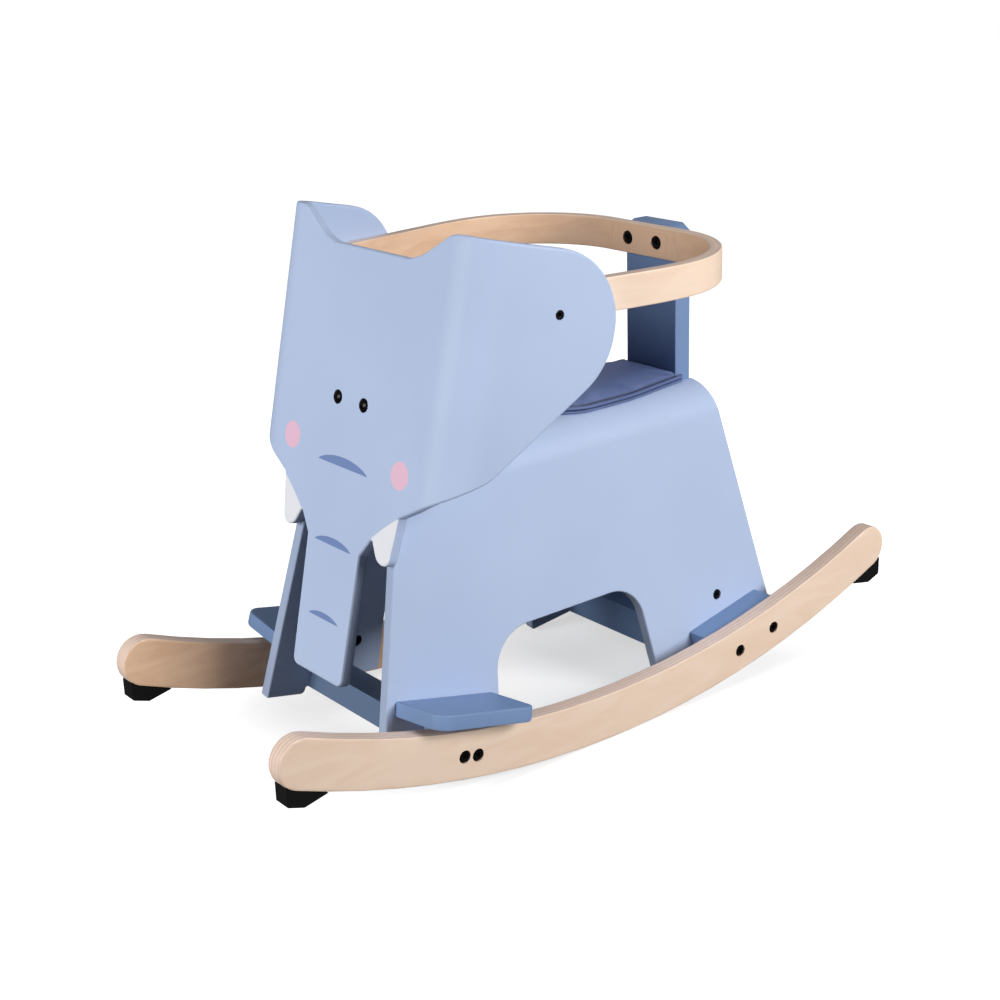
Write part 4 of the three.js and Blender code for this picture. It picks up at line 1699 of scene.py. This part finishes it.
@dataclass
class Cushion:
    """The leatherette pad on the seat: a blown-up panel with piping over a rolled border."""

    saddle: Saddle
    half_corners: tuple[Corner, ...] = ((17, -26, 34), (54, 21, 90), (54, 107, 300))
    rear: float = 181.66
    rear_half: float = 44.5
    rear_round: float = 5
    rear_gap: float = 0.2
    beside_post: float = 38.2
    wrap_round: float = 7.4
    wrap_corners: Flat = (3, 1)
    foot: float = 309.3
    pad: float = 12
    under: tuple[Flat, ...] = ((1.6, 0.2), (0, 1.8))
    over: tuple[Flat, ...] = ((0, 5), (1.4, 2.4), (4.2, 0))
    tuck: float = 3.2
    rear_tuck: float = 0.6
    voxel: float = 2.6
    sewn_share: float = 0.65
    pressure: float = 11
    frames: int = 20
    quality: int = 5
    cap: float = 8
    tallest: float = 17.5
    # Painted shade: the cover darkens below this rise over the seat, fading in over the next
    # distance, for the shade down in its seam.
    seam_shade_rise: float = 7.2
    seam_shade_fade: float = 0.8
    crease_angle: float = 60
    piping: float = 1.85
    piping_rise: float = 5.5
    border: float = 1.5
    welt_points: int = 300
    welt_sides: int = 14
    welt_evenings: int = 2
    seam_in: float = 4.3
    seam_points: int = 260
    stitch_pitch: float = 3.1
    stitch_long: float = 1.15
    stitch_thick: float = 0.34
    stitch_segments: int = 8
    stitch_rings: int = 6
    fill: float = 0.75

    def outline(
        self, inward: float, rear_inward: float | None = None, wrap: bool = False
    ) -> list[Vector]:
        """Lays out the cushion from above, against the clock.

        Args:
            inward: How far inside its edge the line runs.
            rear_inward: The same along the post, where it may differ.
            wrap: Whether the rear corners reach a little way round the post.

        Returns:
            The points.
        """
        rear = self.rear + inward - (inward if rear_inward is None else rear_inward)
        end = [(self.rear_half, rear, self.rear_round)]
        if wrap:
            beside = rear + self.wrap_round
            end = [
                (self.rear_half, beside, self.wrap_corners[0]),
                (self.beside_post, beside, self.wrap_corners[1]),
                (self.beside_post, rear, 0),
            ]
        half = [*self.half_corners, *end]
        other = [(-x, y, radius) for x, y, radius in reversed(half)]
        return inset(rounded([*half, *other]), inward)

    def sag(self, across: float) -> float:
        """Gives how far the pad follows the seat's bend down at a distance from the middle."""
        return self.saddle.surface(across) - self.saddle.seat_top

    def slab(self) -> bmesh.types.BMesh:
        """Makes the pad before it is blown up.

        Returns:
            The mesh.
        """
        rings = []
        for inward, rise in [*self.under, *((side, self.pad - down) for side, down in self.over)]:
            ring = self.outline(self.tuck + inward, self.rear_tuck + inward)
            rings.append([Vector((point.x, point.y, self.foot + rise)) for point in ring])
        made = rings_to_mesh(rings)
        bmesh.ops.triangulate(made, faces=[face for face in made.faces if len(face.verts) > 4])
        return made

    def blown(self, hide: bpy.types.Material) -> bpy.types.Object:
        """Args:
            hide: Its material.

        Returns:
            The pad.
        """
        piece = as_piece("seat_pad", self.slab(), hide)
        remesh = piece.modifiers.new("remesh", "REMESH")
        remesh.mode = "VOXEL"
        remesh.voxel_size = self.voxel * MM
        bake_down(piece)
        start = [vertex.co.copy() for vertex in piece.data.vertices]
        self.swell(piece, start)
        for vertex, before in zip(piece.data.vertices, start):
            move = vertex.co - before
            if move.length:
                held = self.cap * MM * math.tanh(move.length / MM / self.cap)
                vertex.co = before + move * (held / move.length)
        return piece

    def swell(self, piece: bpy.types.Object, start: Sequence[Vector]) -> None:
        """Blows the pad's panel up as cloth, with the pad held below it.

        Args:
            piece: The pad.
            start: Where its points are.
        """
        low = (self.foot + self.pad * self.sewn_share) * MM
        sewn = piece.vertex_groups.new(name="sewn")
        sewn.add([index for index, place in enumerate(start) if place.z < low], 1.0, "REPLACE")
        cloth = piece.modifiers.new("cloth", "CLOTH")
        cloth.settings.vertex_group_mass = "sewn"
        cloth.settings.use_pressure = True
        cloth.settings.uniform_pressure_force = self.pressure
        cloth.settings.effector_weights.gravity = 0
        cloth.settings.quality = self.quality
        cloth.point_cache.frame_start = 1
        cloth.point_cache.frame_end = self.frames
        for step in range(self.frames):
            bpy.context.scene.frame_set(step + 1)
        bake_down(piece)
        bpy.context.scene.frame_set(1)

    def shaped(self, piece: bpy.types.Object) -> None:
        """Rounds the pad off, lays it on the bent seat and notes where painted shade darkens it in
        its seam.

        Args:
            piece: The pad.
        """
        smooth = piece.modifiers.new("smooth", "SUBSURF")
        smooth.levels = smooth.render_levels = 1
        bake_down(piece)
        seam_shades = []
        for vertex in piece.data.vertices:
            x, y, z = vertex.co / MM
            z = max(self.foot, min(z, self.foot + self.tallest))
            y = min(y, self.rear - self.rear_gap)
            # Painted shade: notes how far down into the seam's shade each point lies.
            below = self.seam_shade_rise + self.seam_shade_fade - (z - self.foot)
            seam_shades.append(min(max(below / self.seam_shade_fade, 0), 1))
            vertex.co = Vector((x, y, z + self.sag(x))) * MM
        seam = piece.data.attributes.new("seam", "FLOAT", "POINT")
        seam.data.foreach_set("value", seam_shades)
        smooth_by_angle(piece.data, self.crease_angle)

    def welt(self, name: str, radius: float, rise: float, hide: bpy.types.Material) -> None:
        """Makes a welt round the cushion and gives it to the frame.

        Args:
            name: Its name.
            radius: Its radius.
            rise: How far its middle lies above the seat.
            hide: Its material.
        """
        path = resampled(self.outline(self.piping, wrap=True), self.welt_points)
        points = [Vector((spot.x, spot.y, self.foot + rise + self.sag(spot.x))) for spot in path]
        made = tube_round(evened(points, self.welt_evenings), radius, self.welt_sides)
        settle(as_piece(name, made, hide, SOFT), "leatherette")

    def seam(self, piece: bpy.types.Object) -> bpy.types.Mesh:
        """Finds the line on the pad that the stitches follow.

        Args:
            piece: The pad.

        Returns:
            The closed line.
        """
        tree = BVHTree.FromObject(piece, bpy.context.evaluated_depsgraph_get())
        above = self.foot + 2 * self.tallest
        places = resampled(self.outline(self.seam_in), self.seam_points)
        hits = [tree.ray_cast(Vector((p.x, p.y, above)) * MM, -UP)[0] for p in places]
        points = [hit for hit in hits if hit is not None]
        edges = [(index, (index + 1) % len(points)) for index in range(len(points))]
        return wire("seam_path", points, edges)

    def stitches(self, piece: bpy.types.Object, thread: bpy.types.Material) -> None:
        """Sews even stitches along the seam, each lying on the pad.

        Args:
            piece: The pad.
            thread: The material of the thread.
        """
        growth = Growth("stitches", Pitch="Float", Long="Float", Thick="Float")
        curve = growth.add("GeometryNodeMeshToCurve", values={"Mesh": growth.given()})
        values = {"Curve": curve, "Length": growth.given("Pitch")}
        spots = growth.add("GeometryNodeCurveToPoints", {"mode": "LENGTH"}, values).node.outputs
        values = {"Segments": self.stitch_segments, "Rings": self.stitch_rings}
        values |= {"Radius": growth.given("Thick")}
        stitch = growth.add("GeometryNodeMeshUVSphere", values=values)
        share = growth.number("Long") / growth.number("Thick")
        size = growth.add("ShaderNodeCombineXYZ", values={0: 1.0, 1: 1.0, 2: share})
        turned = growth.facing(spots["Tangent"])
        sewn_on = {"Points": spots["Points"], "Instance": stitch}
        growth.end_in_copies(**sewn_on, Rotation=turned, Scale=size)
        sizes = {"Pitch": self.stitch_pitch, "Long": self.stitch_long, "Thick": self.stitch_thick}
        sizes = {label: measure * MM for label, measure in sizes.items()}
        sewn = growth.grow("seam_stitches", self.seam(piece), Finish=thread, **sizes)
        smooth_by_angle(sewn.data, SOFT)
        settle(sewn, "leatherette")

    def build(self, hide: bpy.types.Material, thread: bpy.types.Material) -> None:
        """Makes the whole cushion and gives it to the frame.

        Args:
            hide: The material of the cover.
            thread: The material of the stitches.
        """
        piece = self.blown(hide)
        self.shaped(piece)
        self.welt("piping", self.piping, self.piping_rise, hide)
        self.welt("rolled_border", self.border, self.border, hide)
        self.stitches(piece, thread)
        settle(piece, "leatherette", "seat_cushion")


# Boards that stay as the CAD has them


@dataclass
class Boards:
    """The rockers, cross pieces, uprights, footrests and stops, dressed where they are."""

    rocker_faces: Flat = (132, 150)
    weld: float = 0.002
    sharp: float = 35
    eased: float = 1.2
    eased_from: float = 40
    eased_segments: int = 3
    painted: tuple[tuple[str, Paint, bool], ...] = (
        ("neck_board", Paint.PALE, True),
        ("back_post", Paint.MID, False),
        ("front_rail", Paint.MID, True),
        ("rear_block", Paint.MID, True),
        ("rear_rail", Paint.MID, True),
        ("front_spacer_left", Paint.MID, True),
        ("front_spacer_right", Paint.MID, True),
        ("rear_spacer_left", Paint.MID, True),
        ("rear_spacer_right", Paint.MID, True),
        ("footrest_left", Paint.MID, False),
        ("footrest_right", Paint.MID, False),
        ("front_bar", Paint.SLATE, True),
    )

    def __post_init__(self) -> None:
        """Makes the tree that joins a CAD node's loose triangles and marks its sharp edges."""
        growth = Growth("joined_faces", Limit="Float")
        values = {"Geometry": growth.given(), "Name": "custom_normal"}
        bare = growth.add("GeometryNodeRemoveAttribute", values=values)
        values = {"Geometry": bare, "Distance": self.weld * MM}
        merged = growth.add("GeometryNodeMergeByDistance", values=values)
        values = {0: merged, "Shade Smooth": True}
        smooth = growth.add("GeometryNodeSetShadeSmooth", {"domain": "FACE"}, values)
        values = {0: growth.add("GeometryNodeInputMeshEdgeAngle"), 1: growth.given("Limit")}
        settings = {"data_type": "FLOAT", "operation": "GREATER_THAN"}
        crisp = growth.add("FunctionNodeCompare", settings, values)
        values = {0: smooth, "Selection": crisp, "Shade Smooth": False}
        growth.end(growth.add("GeometryNodeSetShadeSmooth", {"domain": "EDGE"}, values))
        self.growth = growth

    def dress(self, name: str, finish: bpy.types.Material, ease: bool) -> None:
        """Gives a CAD node its finish, clean shading and, where the CAD has none, eased edges.

        Args:
            name: The node.
            finish: Its material.
            ease: Whether its edges are still sharp.
        """
        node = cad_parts[name]
        for slot in node.material_slots:
            slot.material = finish
        self.growth.attach(node, Limit=math.radians(self.sharp), Finish=finish)
        if ease:
            bevel = node.modifiers.new("eased_edges", "BEVEL")
            bevel.width = self.eased * MM
            bevel.segments = self.eased_segments
            bevel.limit_method = "ANGLE"
            bevel.angle_limit = math.radians(self.eased_from)
        even_shading(node)
        LOG.info("%s: dressed", name)

    def build(
        self, birch: Birch, rubber: bpy.types.Material, paints: dict[Paint, bpy.types.Material]
    ) -> None:
        """Dresses every board and stop.

        Args:
            birch: The finish of the rockers.
            rubber: The material of the stops.
            paints: The material of each paint.
        """
        veneered = birch.board(*self.rocker_faces)
        for hand in HANDS:
            self.dress(f"rocker_{hand}", veneered, False)
            for end in ("front", "rear"):
                self.dress(f"stop_{end}_{hand}", rubber, True)
        for name, paint, ease in self.painted:
            self.dress(name, paints[paint], ease)


# Camera, lights and floor


@dataclass
class Lamp:
    """A square soft box that looks at the toy."""

    name: str
    place: Corner
    side: float
    power: float


@dataclass
class Studio:
    """The photograph's camera, plain soft light and a pale floor."""

    azimuth: float = math.radians(51.611)
    elevation: float = math.radians(19.494)
    roll: float = math.radians(-1.857)
    distance: float = 1.7402
    target: Corner = (0, -0.0299, 0.2181)
    focal: float = 1706.6
    photograph: float = 1000
    sensor: float = 36
    farthest: float = 100
    floor_half: float = 9000
    floor_greys: Corner = (0.58, 0.7, 0.2)
    glow_reach: Flat = (220, 480)
    glow_middle: float = 40
    sky: float = 0.02
    gloss: float = 0.3
    lit: Corner = (0, 0, 0.25)
    lamps: tuple[Lamp, ...] = (
        Lamp("side_box", (2.2, 0.7, 1.2), 1.1, 54),
        Lamp("front_box", (-0.2, -2.4, 0.9), 1.2, 47),
        Lamp("top_box", (0.3, 0.6, 2.6), 1.6, 9),
    )

    def camera(self) -> None:
        """Sets the camera where the photograph was taken."""
        a, e = self.azimuth, self.elevation
        back = Vector((math.sin(a) * math.cos(e), -math.cos(a) * math.cos(e), math.sin(e)))
        right = Vector((math.cos(a), math.sin(a), 0))
        up = back.cross(right)
        level = right * math.cos(self.roll) + up * math.sin(self.roll)
        upright = up * math.cos(self.roll) - right * math.sin(self.roll)
        data = bpy.data.cameras.new("camera")
        data.sensor_width = self.sensor
        data.lens = self.focal * self.sensor / self.photograph
        data.clip_end = self.farthest
        camera = placed("camera", data)
        place = Vector(self.target) + back * self.distance
        turn = Matrix((level, upright, back)).transposed().to_4x4()
        camera.matrix_world = Matrix.Translation(place) @ turn
        bpy.context.scene.camera = camera

    def light(self) -> None:
        """Hangs the soft boxes."""
        for lamp in self.lamps:
            data = bpy.data.lights.new(lamp.name, "AREA")
            data.shape = "SQUARE"
            data.size = lamp.side
            data.energy = lamp.power
            box = placed(lamp.name, data)
            box.location = lamp.place
            aim = Vector(self.lit) - Vector(lamp.place)
            box.rotation_euler = aim.to_track_quat("-Z", "Y").to_euler()

    def world(self) -> None:
        """Makes the surround: white to the eye, dim in reflections and all but dark elsewhere."""
        world = bpy.data.worlds.new("studio")
        world.use_nodes = True
        world.node_tree.nodes.clear()
        nodes = Nodes(world.node_tree)
        path = nodes.add("ShaderNodeLightPath").node.outputs
        seen, gleam = (Number(nodes, path[f"Is {ray} Ray"]) for ray in ("Camera", "Glossy"))
        strength = seen * (1 - self.sky) + gleam * (self.gloss - self.sky) + self.sky
        values = {"Color": WHITE, "Strength": strength}
        nodes.end_in("ShaderNodeOutputWorld", nodes.add("ShaderNodeBackground", values=values))
        bpy.context.scene.world = world

    def floor(self) -> None:
        """Lays the pale floor, which keeps the toy's shadow."""
        matt = {"Roughness": 1.0, "Specular IOR Level": 0.0, "Emission Strength": 1.0}
        shading = Shading("floor", matt)
        path = shading.add("ShaderNodeLightPath").node
        seen = Number(shading, path.outputs["Is Camera Ray"])
        x, y, _ = shading.axes()
        back = y - self.glow_middle
        away = shading.math("SQRT", x * x + back * back).rises(*self.glow_reach)
        glow, shade, bounce = (toned(WHITE, level) for level in self.floor_greys)
        glowing = shading.mix(away, glow, WHITE)
        shading.feed("Base Color", shading.mix(seen, bounce, shade))
        shading.feed("Emission Color", shading.mix(seen, toned(WHITE, 0), glowing))
        made = bmesh.new()
        bmesh.ops.create_grid(made, x_segments=1, y_segments=1, size=self.floor_half)
        as_piece("floor", made, shading.material)

    def build(self) -> None:
        """Sets up the whole studio."""
        bpy.context.scene.view_settings.view_transform = "Standard"
        self.camera()
        self.light()
        self.world()
        self.floor()


def corners(box: tuple[Vector, Vector]) -> list[list[float]]:
    """Turns a box into plain lists."""
    return [list(corner) for corner in box]


def main() -> None:
    """Builds the studio and the pieces in order."""
    logging.basicConfig(level=logging.INFO, format="%(name)s: %(message)s")
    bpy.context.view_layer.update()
    Studio().build()
    birch, leatherette, blacks = Birch(), Leatherette(), Blacks()
    paints = {paint: SatinPaint(paint).make() for paint in Paint}
    saddle = Saddle()
    saddle.build(paints[Paint.PALE])
    Head().build(FacePaint(Paint.PALE).make())
    GuardHoop().build(birch.strip())
    Boards().build(birch, blacks.rubber(), paints)
    Fasteners().build(blacks.steel(), blacks.cap())
    Cushion(saddle).build(leatherette.hide(), leatherette.stitching())


if __name__ == "__main__":
    main()
